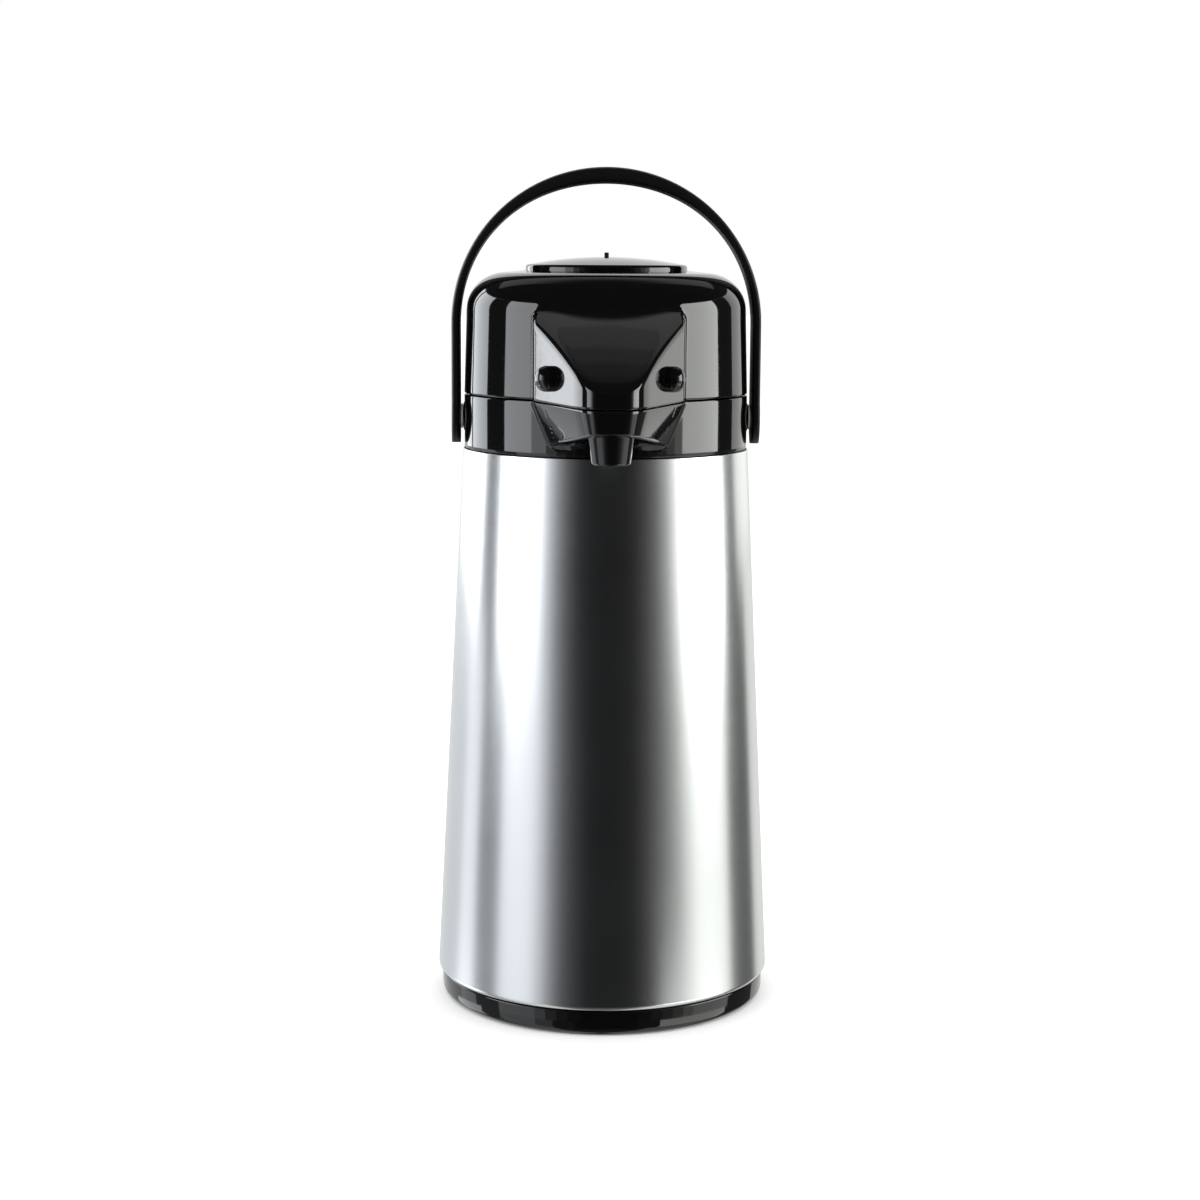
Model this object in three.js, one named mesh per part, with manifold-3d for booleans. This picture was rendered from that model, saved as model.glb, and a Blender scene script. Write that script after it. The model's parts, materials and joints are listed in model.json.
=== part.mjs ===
// A push-button thermal coffee airpot, in millimetres, with +Z up.
// The origin is on the table under the body's axis, and the spout points along -Y.
// Each mesh is one separate piece of the real object; each nested group is one moving body.

import * as THREE from "three";
import { mergeVertices } from "three/addons/utils/BufferGeometryUtils.js";
import Module from "manifold-3d";

const wasm = await Module();
wasm.setup();

// ---------------------------------------------------------------- clearances

const fitGap = 0.3; // between two fixed pieces that touch in the real object
const runGap = 0.4; // between a turning piece and what carries it
const seamGap = 0.6; // the dark line between the collar and the lid
const looseGap = 0.8; // beside a piece that drops in by hand

// ---------------------------------------------------------------- driving sizes

// Base and steel body
const bodyRadius = 82.5; // steel body at its widest, just above the base
const baseStep = 2.0; // how far the base ring sits inside the steel body
const baseHeight = 12.2;
const baseWall = 3.0;
const baseFloor = 2.6;
const padRadius = 7.5;
const padThickness = 1.2;
const padCircle = 62.0;
const shellHeight = 261.0;
const shellWall = 0.8;
const shellHem = 4.0; // rolled hem under the bottom cap's flange
const glideThickness = 3.2;
const glideCircle = 52.0;
const glideWidth = 8.0;
const capFloor = 3.0;
const capWall = 2.0;

// Glass vacuum flask
const glassWall = 1.6;
const vacuumGap = 3.7;
const flaskMargin = 2.6; // flask radius inside the head radius
const neckRadius = 29.5; // mouth of the flask
const cushionHeight = 9.0;

// Collar and lid
const headRadius = 69.1; // collar, and the lid where it meets the collar
const headStep = 0.7; // how far the steel body's top edge stands outside the collar
const collarHeight = 25.8;
const collarWall = 2.8;
const spigotDepth = 8.0;
const deckThickness = 2.5;
const lidWall = 2.4;
const lidSideHeight = 40.3;
const lidSideTaper = 1.1;
const lidCornerWidth = 20.0;
const lidCornerHeight = 18.0;
const lidCrown = 0.9;

// Push button and pump
const buttonRadius = 39.3;
const buttonTravel = 14.0;
const buttonWall = 2.1;
const buttonCrown = 3.6;
const buttonGuideDepth = 21.0;
const pumpFloor = 2.5;
const bellowsWall = 1.2;
const bellowsFolds = 4;

// Spout housing, half on the collar and half on the lid
const beakReach = 128.0; // tip of the spout housing from the axis
const beakHalfWidth = 35.5;
const beakFlank = 7.27; // straight flank between the head and the cheek
const noseRadius = 17.0;
const beakWall = 2.6;
const noseHeight = 10.4; // flat front of the nose above the seam
const noseSetback = 4.0; // hood slope meets the nose this far behind the tip
const hullDepth = 20.4; // spout housing below the seam, at the collar
const noseDepth = 11.2; // and at the nose
const hullTaper = 0.0113; // share of its width lost per millimetre of depth
const nozzleSetback = 14.0;
const nozzleTopRadius = 10.15;
const nozzleEndRadius = 8.6;
const nozzleLength = 10.6;
const tubeRadius = 4.0;
const tubeBore = 2.7;

// Lid release buttons
const releaseRadius = 5.9;
const releaseReach = 6.6;
const releaseFromCrease = 22.4;
const releaseHeight = 11.6; // above the seam
const releaseTravel = 3.0;

// Carry handle
const archDrop = 7.0; // the handle's arch starts this far below the lid's rounded corner
const handleWidth = 22.0;
const handleEye = 13.0; // radius of each end around its pivot
const crownThickness = 7.9;
const legThickness = 4.4;
const handleSideGap = 1.8;
const pivotRadius = 3.0;
const pivotHeight = 14.7; // above the collar's lower edge

// Lid hinge
const hingeSetback = 4.4; // axis outside the head radius
const hingeBarrel = 5.0;
const hingePin = 2.0;
const knuckleHalf = 7.7;
const lugWidth = 6.0;

// Screws, valve and tube fits
const pivotScrewRadius = 2.0;
const pivotShoulder = 4.0;
const screwBottom = 2.4;
const adjusterRadius = 23.6;
const siphonRadius = 4.5;
const nozzleNeck = 7.5;
const screwRadius = 1.5;
const screwDepth = 9.0;
const intakeY = 9.0;
const pipRadius = 1.1;

// Facets around each kind of round piece
const wide = 36;
const medium = 24;
const small = 12;

// ---------------------------------------------------------------- derived levels and radii

const shellBottom = baseHeight + 0.7;
const shellTop = shellBottom + shellHeight;
const collarBottom = shellTop + 0.4;
const collarTop = collarBottom + collarHeight;
const lidBottom = collarTop + seamGap;
const seamLevel = (collarTop + lidBottom) / 2;
const hoodTop = lidBottom + lidSideHeight;
const lidTop = hoodTop + lidCornerHeight;

const baseRadius = bodyRadius - baseStep;
const glideBottom = baseFloor + fitGap;
const capBottom = glideBottom + glideThickness + fitGap;
const capTop = capBottom + capFloor;
const capRadius = baseRadius - baseWall - looseGap;
const hemTop = shellBottom + shellWall;

const flaskRadius = headRadius - flaskMargin;
const flaskInner = flaskRadius - glassWall - vacuumGap;
const cavityRadius = flaskInner - glassWall;
const neckOuter = neckRadius + glassWall + 1.2 + glassWall;
const adjusterTop = capTop + fitGap + 4.8;
const flaskBottom = adjusterTop + fitGap + cushionHeight + 2.2;
const flaskRim = collarBottom + 10.8;
const shoulderLevel = flaskRim - 53;

const deckBottom = collarBottom + 5.7;
const deckTop = deckBottom + deckThickness;
const throatRadius = neckOuter + 4.6;
const throatTop = flaskRim + 5.7;
const stopperFlange = neckOuter + 2.1;
const stopperTop = collarTop - 1.6;
const drumRadius = neckRadius + 0.5;
const plugRadius = neckRadius - looseGap;
const tubeLevel = collarTop - 4.9;
const seatLevel = flaskRim - 5.1;
const ballRadius = 4.2;
const chamberRadius = 5.5;
const airPortY = 11.0;

const wellRadius = buttonRadius + 1.0;
const guideRadius = wellRadius + 2.0;
const guideBottom = lidTop - buttonGuideDepth;
const lockInner = guideRadius + fitGap;
const lockOuter = lockInner + 4.7;
const housingInner = lockOuter + fitGap;
const housingOuter = housingInner + 2.0;
const pumpBottom = lidBottom + 2.3;
const pumpTop = pumpBottom + pumpFloor;
const lidInner = headRadius - lidWall;
const screwCircle = (housingOuter + lidInner - lidSideTaper) / 2;
const bossRadius = Math.min(4.2, (lidInner - lidSideTaper - housingOuter) / 2 - 1.0);
const springSeat = -16.0; // inner end of a release spring, measured into the cheek
const nozzleBottom = collarTop - hullDepth - 4.2;
const throatBottom = shoulderLevel + 31.5 + 3.8;
const lockBottom = guideBottom - fitGap - 15.8;
const lockTop = guideBottom - 0.6;
const bellowsRadius = buttonRadius - buttonWall - 3.2;
const bellowsBottom = pumpTop + fitGap;
const bellowsTop = guideBottom - fitGap;
const bellowsInner = bellowsRadius - 7.0;
const coilRadius = bellowsInner - 8.5;

const flankStart = Math.sqrt(headRadius ** 2 - beakHalfWidth ** 2);
const beakCrease = flankStart + beakFlank;
const hullRise = (hullDepth - noseDepth) / (beakReach - beakCrease);
const noseCentre = beakReach - noseRadius;
const nozzleY = -(beakReach - nozzleSetback);
const noseTop = lidBottom + noseHeight;
const hingeY = headRadius + hingeSetback;
const handleInner = headRadius + handleSideGap;
const handleOuter = handleInner + legThickness;
const pivotLevel = collarBottom + pivotHeight;
const archCentre = hoodTop - archDrop;
const handleTop = archCentre + handleOuter;

// ---------------------------------------------------------------- materials

function finish(color, roughness, metalness) {
  return new THREE.MeshStandardMaterial({ color, roughness, metalness });
}

const glossBlack = finish(0x0b0b0c, 0.12, 0.0);
const satinBlack = finish(0x141415, 0.45, 0.0);
const brushedSteel = finish(0xb9bcc0, 0.32, 1.0);
const plainSteel = finish(0xc4c6c8, 0.25, 1.0);
const silveredGlass = finish(0xd5dade, 0.08, 0.6);
const greyRubber = finish(0x4a4a4c, 0.85, 0.0);
const whiteRubber = finish(0xd8d6cf, 0.75, 0.0);
const naturalPlastic = finish(0xe2e0d8, 0.5, 0.0);
const nylon = finish(0xdcdcd6, 0.55, 0.0);

// ---------------------------------------------------------------- solid helpers

// A closed geometry as a solid with its faces turned outwards.
function solid(geometry) {
  const bare = geometry.index ? geometry.toNonIndexed() : geometry.clone();
  bare.deleteAttribute("normal");
  bare.deleteAttribute("uv");
  const merged = mergeVertices(bare, 1e-4);
  const vertProperties = merged.attributes.position.array;
  const index = merged.index.array;
  const kept = [];
  for (let i = 0; i < index.length; i += 3) {
    const [a, b, c] = index.slice(i, i + 3);
    if (a !== b && b !== c && c !== a) {
      kept.push(a, b, c);
    }
  }
  const build = (list) =>
    new wasm.Manifold(new wasm.Mesh({ numProp: 3, vertProperties, triVerts: new Uint32Array(list) }));
  const made = build(kept);
  if (made.volume() > 0) {
    return made;
  }
  const turned = [];
  for (let i = 0; i < kept.length; i += 3) {
    turned.push(kept[i], kept[i + 2], kept[i + 1]);
  }
  return build(turned);
}

// A solid's surface as a geometry.
function surface(body) {
  const mesh = body.getMesh();
  const points = new Float32Array(mesh.numVert * 3);
  for (let i = 0; i < mesh.numVert; i += 1) {
    points.set(mesh.vertProperties.subarray(i * mesh.numProp, i * mesh.numProp + 3), i * 3);
  }
  const geometry = new THREE.BufferGeometry();
  geometry.setAttribute("position", new THREE.BufferAttribute(points, 3));
  geometry.setIndex(new THREE.BufferAttribute(mesh.triVerts, 1));
  geometry.computeVertexNormals();
  return geometry;
}

function piece(name, body, material) {
  const mesh = new THREE.Mesh(surface(body), material);
  mesh.name = name;
  return mesh;
}

function joined(first, ...others) {
  return others.reduce((sum, other) => sum.add(other), first);
}

function cutBy(first, ...others) {
  return others.reduce((rest, other) => rest.subtract(other), first);
}

// ---------------------------------------------------------------- shape helpers

// A profile of [radius, level] points turned about the vertical axis.
function lathe(profile, segments) {
  const points = profile.map(([r, z]) => new THREE.Vector2(r, z));
  if (profile[0][0] !== 0 || profile.at(-1)[0] !== 0) {
    points.push(points[0].clone());
  }
  return solid(new THREE.LatheGeometry(points, segments).rotateX(Math.PI / 2));
}

function ring(inner, outer, low, high, segments) {
  return lathe([[inner, low], [outer, low], [outer, high], [inner, high]], segments);
}

function disc(radius, low, high, segments) {
  return lathe([[0, low], [radius, low], [radius, high], [0, high]], segments);
}

function block(x0, x1, y0, y1, z0, z1) {
  const box = new THREE.BoxGeometry(x1 - x0, y1 - y0, z1 - z0);
  return solid(box.translate((x0 + x1) / 2, (y0 + y1) / 2, (z0 + z1) / 2));
}

// A vertical post or hole at a place away from the axis.
function post(x, y, radius, low, high, segments) {
  return disc(radius, low, high, segments).translate([x, y, 0]);
}

// A cylinder along X, or a tube when it has a bore.
function barrel(x0, x1, y, z, radius, segments, bore = 0) {
  const geometry = (r, from, to) =>
    new THREE.CylinderGeometry(r, r, to - from, segments)
      .rotateZ(Math.PI / 2)
      .translate((from + to) / 2, y, z);
  const outer = solid(geometry(radius, x0, x1));
  return bore > 0 ? outer.subtract(solid(geometry(bore, x0 - 1, x1 + 1))) : outer;
}

// Points on an elliptical arc; angles are in degrees from the outward radius.
function arc(r, z, across, up, from, to, steps) {
  const points = [];
  for (let i = 0; i <= steps; i += 1) {
    const angle = THREE.MathUtils.degToRad(from + ((to - from) * i) / steps);
    points.push([r + across * Math.cos(angle), z + up * Math.sin(angle)]);
  }
  return points;
}

// A round bar along a curve.
function rod(curve, radius, steps, sides) {
  const section = new THREE.Shape();
  for (let i = 0; i < sides; i += 1) {
    const angle = (2 * Math.PI * i) / sides;
    const [x, y] = [radius * Math.cos(angle), radius * Math.sin(angle)];
    if (i === 0) {
      section.moveTo(x, y);
    } else {
      section.lineTo(x, y);
    }
  }
  section.closePath();
  return solid(new THREE.ExtrudeGeometry(section, { extrudePath: curve, steps, bevelEnabled: false }));
}

// The centre line of a coil spring about the vertical axis.
class Coil extends THREE.Curve {
  constructor(radius, low, high, turns) {
    super();
    Object.assign(this, { radius, low, high, turns });
  }

  getPoint(t, target = new THREE.Vector3()) {
    const angle = 2 * Math.PI * this.turns * t;
    const level = this.low + (this.high - this.low) * t;
    return target.set(this.radius * Math.cos(angle), this.radius * Math.sin(angle), level);
  }
}

// ---------------------------------------------------------------- spout housing outline

// The cheeks are straight and touch the round nose; this is the right cheek's outward normal.
const cheekRun = noseCentre - beakCrease;
const cheekAngle =
  Math.atan2(cheekRun, beakHalfWidth) - Math.acos(noseRadius / Math.hypot(beakHalfWidth, cheekRun));
const cheekNormal = new THREE.Vector2(Math.cos(cheekAngle), Math.sin(cheekAngle));
const cheekOffset = cheekNormal.dot(new THREE.Vector2(beakHalfWidth, -beakCrease));

// The housing's plan outline, moved inwards by a wall, as a bar from one level to another.
function beakBar(inset, low, high, back) {
  const half = beakHalfWidth - inset;
  const creaseY = (cheekOffset - inset - cheekNormal.x * half) / cheekNormal.y;
  const outline = new THREE.Shape();
  outline.moveTo(-half, -back);
  outline.lineTo(-half, creaseY);
  const nose = 8;
  for (let i = 0; i <= nose; i += 1) {
    const angle = -Math.PI - cheekAngle + ((Math.PI + 2 * cheekAngle) * i) / nose;
    const reach = noseRadius - inset;
    outline.lineTo(reach * Math.cos(angle), -noseCentre + reach * Math.sin(angle));
  }
  outline.lineTo(half, creaseY);
  outline.lineTo(half, -back);
  outline.closePath();
  const bar = new THREE.ExtrudeGeometry(outline, { depth: high - low, bevelEnabled: false });
  return bar.translate(0, 0, low);
}

// The hood's roof: everything below a slope that falls from the lid to the nose.
function underHood(inset) {
  const slopeEnd = beakReach - noseSetback;
  const run = slopeEnd - beakCrease;
  const drop = hoodTop - noseTop;
  const down = inset * Math.hypot(1, drop / run);
  const side = new THREE.Shape();
  side.moveTo(-beakCrease + 30, lidBottom - 60);
  side.lineTo(-beakCrease + 30, hoodTop - inset);
  side.lineTo(-beakCrease + (down - inset) * (run / drop), hoodTop - inset);
  side.lineTo(-slopeEnd - 20, noseTop - down - (20 * drop) / run);
  side.lineTo(-slopeEnd - 20, lidBottom - 60);
  side.closePath();
  const slab = new THREE.ExtrudeGeometry(side, { depth: 4 * beakHalfWidth, bevelEnabled: false });
  slab.translate(0, 0, -2 * beakHalfWidth);
  return solid(slab.applyMatrix4(new THREE.Matrix4().makeBasis(
    new THREE.Vector3(0, 1, 0),
    new THREE.Vector3(0, 0, 1),
    new THREE.Vector3(1, 0, 0),
  )));
}

// The housing below the seam narrows with depth, and its underside rises towards the nose.
function hullBody(inset, low, high, back) {
  const bar = beakBar(inset, low, high, back);
  const place = bar.attributes.position;
  for (let i = 0; i < place.count; i += 1) {
    const depth = collarTop - place.getZ(i);
    place.setX(i, place.getX(i) * (1 - hullTaper * depth));
  }
  return solid(bar);
}

function belowHull(inset) {
  const level = (y) => collarTop - hullDepth + inset + (-y - beakCrease) * hullRise;
  const side = new THREE.Shape();
  side.moveTo(0, level(0));
  side.lineTo(-beakReach - 10, level(-beakReach - 10));
  side.lineTo(-beakReach - 10, level(0) - 60);
  side.lineTo(0, level(0) - 60);
  side.closePath();
  const slab = new THREE.ExtrudeGeometry(side, { depth: 4 * beakHalfWidth, bevelEnabled: false });
  slab.translate(0, 0, -2 * beakHalfWidth);
  return solid(slab.applyMatrix4(new THREE.Matrix4().makeBasis(
    new THREE.Vector3(0, 1, 0),
    new THREE.Vector3(0, 0, 1),
    new THREE.Vector3(1, 0, 0),
  )));
}

// ---------------------------------------------------------------- base

function makeBase() {
  const group = new THREE.Group();
  const inner = baseRadius - baseWall;
  const hub = 10.0;
  const hubTop = capBottom - fitGap;
  const screwHole = pivotScrewRadius + fitGap;
  const dish = lathe([
    [0, 0],
    [baseRadius - 2.5, 0],
    [baseRadius - 0.8, 0.8],
    [baseRadius, 2.6],
    [baseRadius, baseHeight - 1.0],
    [baseRadius - 1.0, baseHeight],
    [inner, baseHeight],
    [inner, baseFloor],
    [hub, baseFloor],
    [hub, hubTop],
    [screwHole, hubTop],
    [screwHole, screwBottom - fitGap],
    [0, screwBottom - fitGap],
  ], wide);
  const pockets = padPlaces().map(([x, y]) =>
    post(x, y, padRadius + fitGap, -1, padThickness + fitGap, small));
  group.add(piece("swivel_base", cutBy(dish, ...pockets), glossBlack));
  padPlaces().forEach(([x, y], i) => {
    const pad = piece(`foot_pad_${i + 1}`, disc(padRadius, 0, padThickness, small), greyRubber);
    pad.position.set(x, y, 0);
    group.add(pad);
  });
  const glide = ring(
    glideCircle - glideWidth / 2,
    glideCircle + glideWidth / 2,
    glideBottom,
    glideBottom + glideThickness,
    medium,
  );
  group.add(piece("thrust_ring", glide, nylon));
  const shoulder = pivotShoulder;
  const screw = lathe([
    [0, screwBottom],
    [pivotScrewRadius, screwBottom],
    [pivotScrewRadius, hubTop + fitGap],
    [shoulder, hubTop + fitGap],
    [shoulder, capTop + fitGap],
    [shoulder + 3, capTop + fitGap],
    [shoulder + 3, capTop + fitGap + 2],
    [shoulder + 2, capTop + fitGap + 2.5],
    [0, capTop + fitGap + 2.5],
  ], small);
  group.add(piece("pivot_screw", screw, plainSteel));
  return group;
}

function padPlaces() {
  const circle = Math.min(padCircle, baseRadius - baseWall - padRadius - 2);
  return [45, 135, 225, 315].map((angle) => {
    const turn = THREE.MathUtils.degToRad(angle);
    return [circle * Math.cos(turn), circle * Math.sin(turn)];
  });
}

// ---------------------------------------------------------------- body

function shellRadius(z) {
  const top = headRadius + headStep;
  return bodyRadius + ((top - bodyRadius) * (z - shellBottom - 1.6)) / (shellHeight - 1.6);
}

function makeBodyShell() {
  const group = new THREE.Group();
  const widest = shellBottom + 1.6;
  const shell = lathe([
    [bodyRadius - 1.0 - shellHem, shellBottom],
    [bodyRadius - 1.2, shellBottom],
    [bodyRadius - 0.3, shellBottom + 0.5],
    [bodyRadius, widest],
    [shellRadius(shellTop), shellTop],
    [shellRadius(shellTop) - shellWall, shellTop],
    [bodyRadius - shellWall, widest],
    [bodyRadius - shellWall - 0.4, hemTop],
    [bodyRadius - 1.0 - shellHem, hemTop],
  ], wide);
  group.add(piece("steel_shell", shell, brushedSteel));

  const flangeLow = hemTop + fitGap;
  const flangeHigh = flangeLow + 1.6;
  const flangeRadius = shellRadius(flangeHigh + 5.4) - shellWall - fitGap - 0.1;
  const cupRadius = adjusterRadius + fitGap;
  const cap = lathe([
    [pivotShoulder + runGap, capBottom],
    [capRadius, capBottom],
    [capRadius, flangeLow],
    [flangeRadius, flangeLow],
    [flangeRadius, flangeHigh + 5.4],
    [flangeRadius - capWall, flangeHigh + 5.4],
    [flangeRadius - capWall, flangeHigh],
    [capRadius - capWall, flangeHigh],
    [capRadius - capWall, capTop],
    [cupRadius + 3, capTop],
    [cupRadius + 3, capTop + 9],
    [cupRadius, capTop + 9],
    [cupRadius, capTop],
    [pivotShoulder + runGap, capTop],
  ], wide);
  group.add(piece("bottom_cap", cap, satinBlack));

  const adjusterBore = pivotShoulder + 5;
  const adjuster = ring(adjusterBore, adjusterRadius, capTop + fitGap, adjusterTop, medium);
  group.add(piece("liner_adjuster", adjuster, naturalPlastic));
  return group;
}

// Height of the flask's dished underside above its lowest point.
function dish(r) {
  return 0.0035 * r * r;
}

function makeFlask() {
  const group = new THREE.Group();
  const outline = (radius, mouth, bottom, drop) => {
    const corner = radius - 21.5;
    const bottomCorner = bottom + dish(corner);
    return {
      floor: [0.5, 1].map((share) => [corner * share, bottom + dish(corner * share)]),
      side: [
        [radius - 9, bottomCorner + 4.6],
        [radius - 1.8, bottomCorner + 12],
        [radius, bottomCorner + 20],
        [radius, shoulderLevel],
        [radius - 2, shoulderLevel + 10],
        [radius - 8, shoulderLevel + 18],
        [mouth + (radius - mouth) * 0.48, shoulderLevel + 25 - drop],
        [mouth + 3.6, shoulderLevel + 31.5 - drop],
        [mouth, shoulderLevel + 40],
      ],
    };
  };
  const hole = 1.6;
  const outside = outline(flaskRadius, neckOuter, flaskBottom, 0);
  const outsideBack = outline(flaskRadius - glassWall, neckOuter - glassWall, flaskBottom + glassWall, 0.5);
  const lift = glassWall + vacuumGap;
  const insideBack = outline(flaskInner, neckRadius + glassWall, flaskBottom + lift, 2.2);
  const inside = outline(cavityRadius, neckRadius, flaskBottom + lift + glassWall, 2.7);
  const flask = lathe([
    [hole, flaskBottom],
    ...outside.floor,
    ...outside.side,
    [neckOuter, flaskRim - 2],
    [neckOuter - 1.3, flaskRim - 0.3],
    [(neckOuter + neckRadius) / 2, flaskRim],
    [neckRadius + 1.3, flaskRim - 0.3],
    [neckRadius, flaskRim - 2],
    ...inside.side.toReversed(),
    ...inside.floor.toReversed(),
    [0, flaskBottom + lift + glassWall],
    [0, flaskBottom + lift],
    ...insideBack.floor,
    ...insideBack.side,
    [neckRadius + glassWall, flaskRim - 3],
    [neckOuter - glassWall, flaskRim - 3],
    ...outsideBack.side.toReversed(),
    ...outsideBack.floor.toReversed(),
    [hole, flaskBottom + glassWall],
  ], medium);
  group.add(piece("glass_flask", flask, silveredGlass));

  const tip = lathe([
    [0, flaskBottom - 3.4],
    [2.6, flaskBottom - 2.8],
    [3.2, flaskBottom - 1.4],
    [2.6, flaskBottom - fitGap],
    [hole - fitGap, flaskBottom - fitGap],
    [hole - fitGap, flaskBottom + 1.2],
    [0, flaskBottom + 1.2],
  ], small);
  group.add(piece("flask_seal_tip", tip, silveredGlass));

  const base = adjusterTop + fitGap;
  const under = (r) => flaskBottom + dish(r) - runGap;
  const wideRadius = (flaskRadius - 21.5) * 0.75;
  const tight = pivotShoulder + 5;
  const cushion = lathe([
    [tight, base],
    [adjusterRadius, base],
    [adjusterRadius, capTop + 9 + fitGap],
    [wideRadius, capTop + 9 + fitGap],
    [wideRadius, flaskBottom + 1.0],
    [(flaskRadius - 21.5) / 2, under((flaskRadius - 21.5) / 2)],
    [tight, under(tight) - 0.4],
  ], medium);
  group.add(piece("flask_cushion", cushion, greyRubber));

  const shoulderRise = (r) => {
    const first = [neckOuter + 3.6, shoulderLevel + 31.5];
    const second = [neckOuter + (flaskRadius - neckOuter) * 0.48, shoulderLevel + 25];
    const share = (r - first[0]) / (second[0] - first[0]);
    return first[1] + (second[1] - first[1]) * share;
  };
  const gasketInner = throatRadius;
  const gasketOuter = throatRadius + 5;
  const shoulderSeal = lathe([
    [gasketInner, shoulderRise(gasketInner) + 0.5],
    [gasketOuter, shoulderRise(gasketOuter) + 0.5],
    [gasketOuter, throatBottom - fitGap],
    [gasketInner, throatBottom - fitGap],
  ], medium);
  group.add(piece("shoulder_gasket", shoulderSeal, whiteRubber));
  const mouthSeal = ring(
    neckRadius + 0.3,
    neckOuter,
    flaskRim + fitGap,
    flaskRim + fitGap + 1.5,
    medium,
  );
  group.add(piece("neck_gasket", mouthSeal, whiteRubber));
  return group;
}

// ---------------------------------------------------------------- collar with the lower spout housing

function makeCollar() {
  const group = new THREE.Group();
  const inner = headRadius - collarWall;
  const spigotRadius = shellRadius(shellTop) - shellWall - 0.5;
  const body = lathe([
    [throatRadius, throatBottom],
    [throatRadius + 3, throatBottom],
    [throatRadius + 3, deckBottom],
    [inner, deckBottom],
    [inner, shellTop - spigotDepth],
    [spigotRadius, shellTop - spigotDepth],
    [spigotRadius, collarBottom],
    [headRadius - 0.4, collarBottom],
    [headRadius, collarBottom + 0.4],
    [headRadius, collarTop - 0.4],
    [headRadius - 0.4, collarTop],
    [inner, collarTop],
    [inner, deckTop],
    [throatRadius + 3, deckTop],
    [throatRadius + 3, throatTop],
    [throatRadius, throatTop],
  ], wide);
  const low = collarTop - hullDepth - 4;
  const within = flankStart - 2.0;
  const hull = cutBy(
    hullBody(0, low, collarTop, within),
    belowHull(0),
    disc(headRadius - 0.2, low - 5, collarTop + 5, wide),
  );
  const hollow = cutBy(
    hullBody(beakWall, low, collarTop + 2, within),
    belowHull(beakWall),
    disc(headRadius, low - 5, collarTop + 5, wide),
  );
  const bossEnd = headRadius + 0.4;
  const bosses = [-1, 1].map((side) => {
    const from = side * (inner - 1.5);
    const to = side * bossEnd;
    return barrel(Math.min(from, to), Math.max(from, to), 0, pivotLevel, 7, small);
  });
  const pinHoles = barrel(-bossEnd - 1, bossEnd + 1, 0, pivotLevel, pivotRadius + fitGap, small);
  const lugs = [-1, 1].flatMap((side) => {
    const near = side * (knuckleHalf + fitGap);
    const far = side * (knuckleHalf + fitGap + lugWidth);
    const [x0, x1] = [Math.min(near, far), Math.max(near, far)];
    return [
      barrel(x0, x1, hingeY, seamLevel, hingeBarrel, small),
      block(x0, x1, headRadius - 2.4, hingeY, collarTop - 9, collarTop),
    ];
  });
  const knuckleRoom = barrel(
    -knuckleHalf - fitGap,
    knuckleHalf + fitGap,
    hingeY,
    seamLevel,
    hingeBarrel + runGap,
    small,
  );
  const hingeHole = barrel(-40, 40, hingeY, seamLevel, hingePin + fitGap, small);
  const tubeSlot = block(
    -tubeRadius - fitGap,
    tubeRadius + fitGap,
    -headRadius - 4,
    -inner + 5,
    tubeLevel - tubeRadius - fitGap,
    collarTop + 1,
  );
  const nozzleHole = post(0, nozzleY, nozzleNeck + fitGap, low - 5, collarTop, small + 4);
  const collar = cutBy(
    joined(body, hull, ...bosses, ...lugs),
    hollow,
    pinHoles,
    knuckleRoom,
    hingeHole,
    tubeSlot,
    nozzleHole,
  );
  group.add(piece("collar", collar, glossBlack));

  const ends = knuckleHalf + fitGap + lugWidth + 0.5;
  group.add(piece(
    "lid_hinge_pin",
    barrel(-ends, ends, hingeY, seamLevel, hingePin, small),
    plainSteel,
  ));
  [["left", -1], ["right", 1]].forEach(([name, side]) => {
    const pinParts = [
      [inner - 4.0, inner - 1.5 - fitGap, pivotRadius + 2],
      [inner - 1.5 - fitGap - 0.1, handleInner + 2.7, pivotRadius],
    ].map(([from, to, radius]) => {
      const [x0, x1] = [Math.min(side * from, side * to), Math.max(side * from, side * to)];
      return barrel(x0, x1, 0, pivotLevel, radius, small);
    });
    group.add(piece(`handle_pin_${name}`, joined(...pinParts), plainSteel));
    const [near, far] = [bossEnd + fitGap, handleInner - fitGap];
    const [x0, x1] = [Math.min(side * near, side * far), Math.max(side * near, side * far)];
    const washer = barrel(x0, x1, 0, pivotLevel, 6, small, pivotRadius + fitGap);
    group.add(piece(`handle_washer_${name}`, washer, nylon));
  });
  return group;
}

// ---------------------------------------------------------------- stopper, siphon and pouring tube

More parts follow.
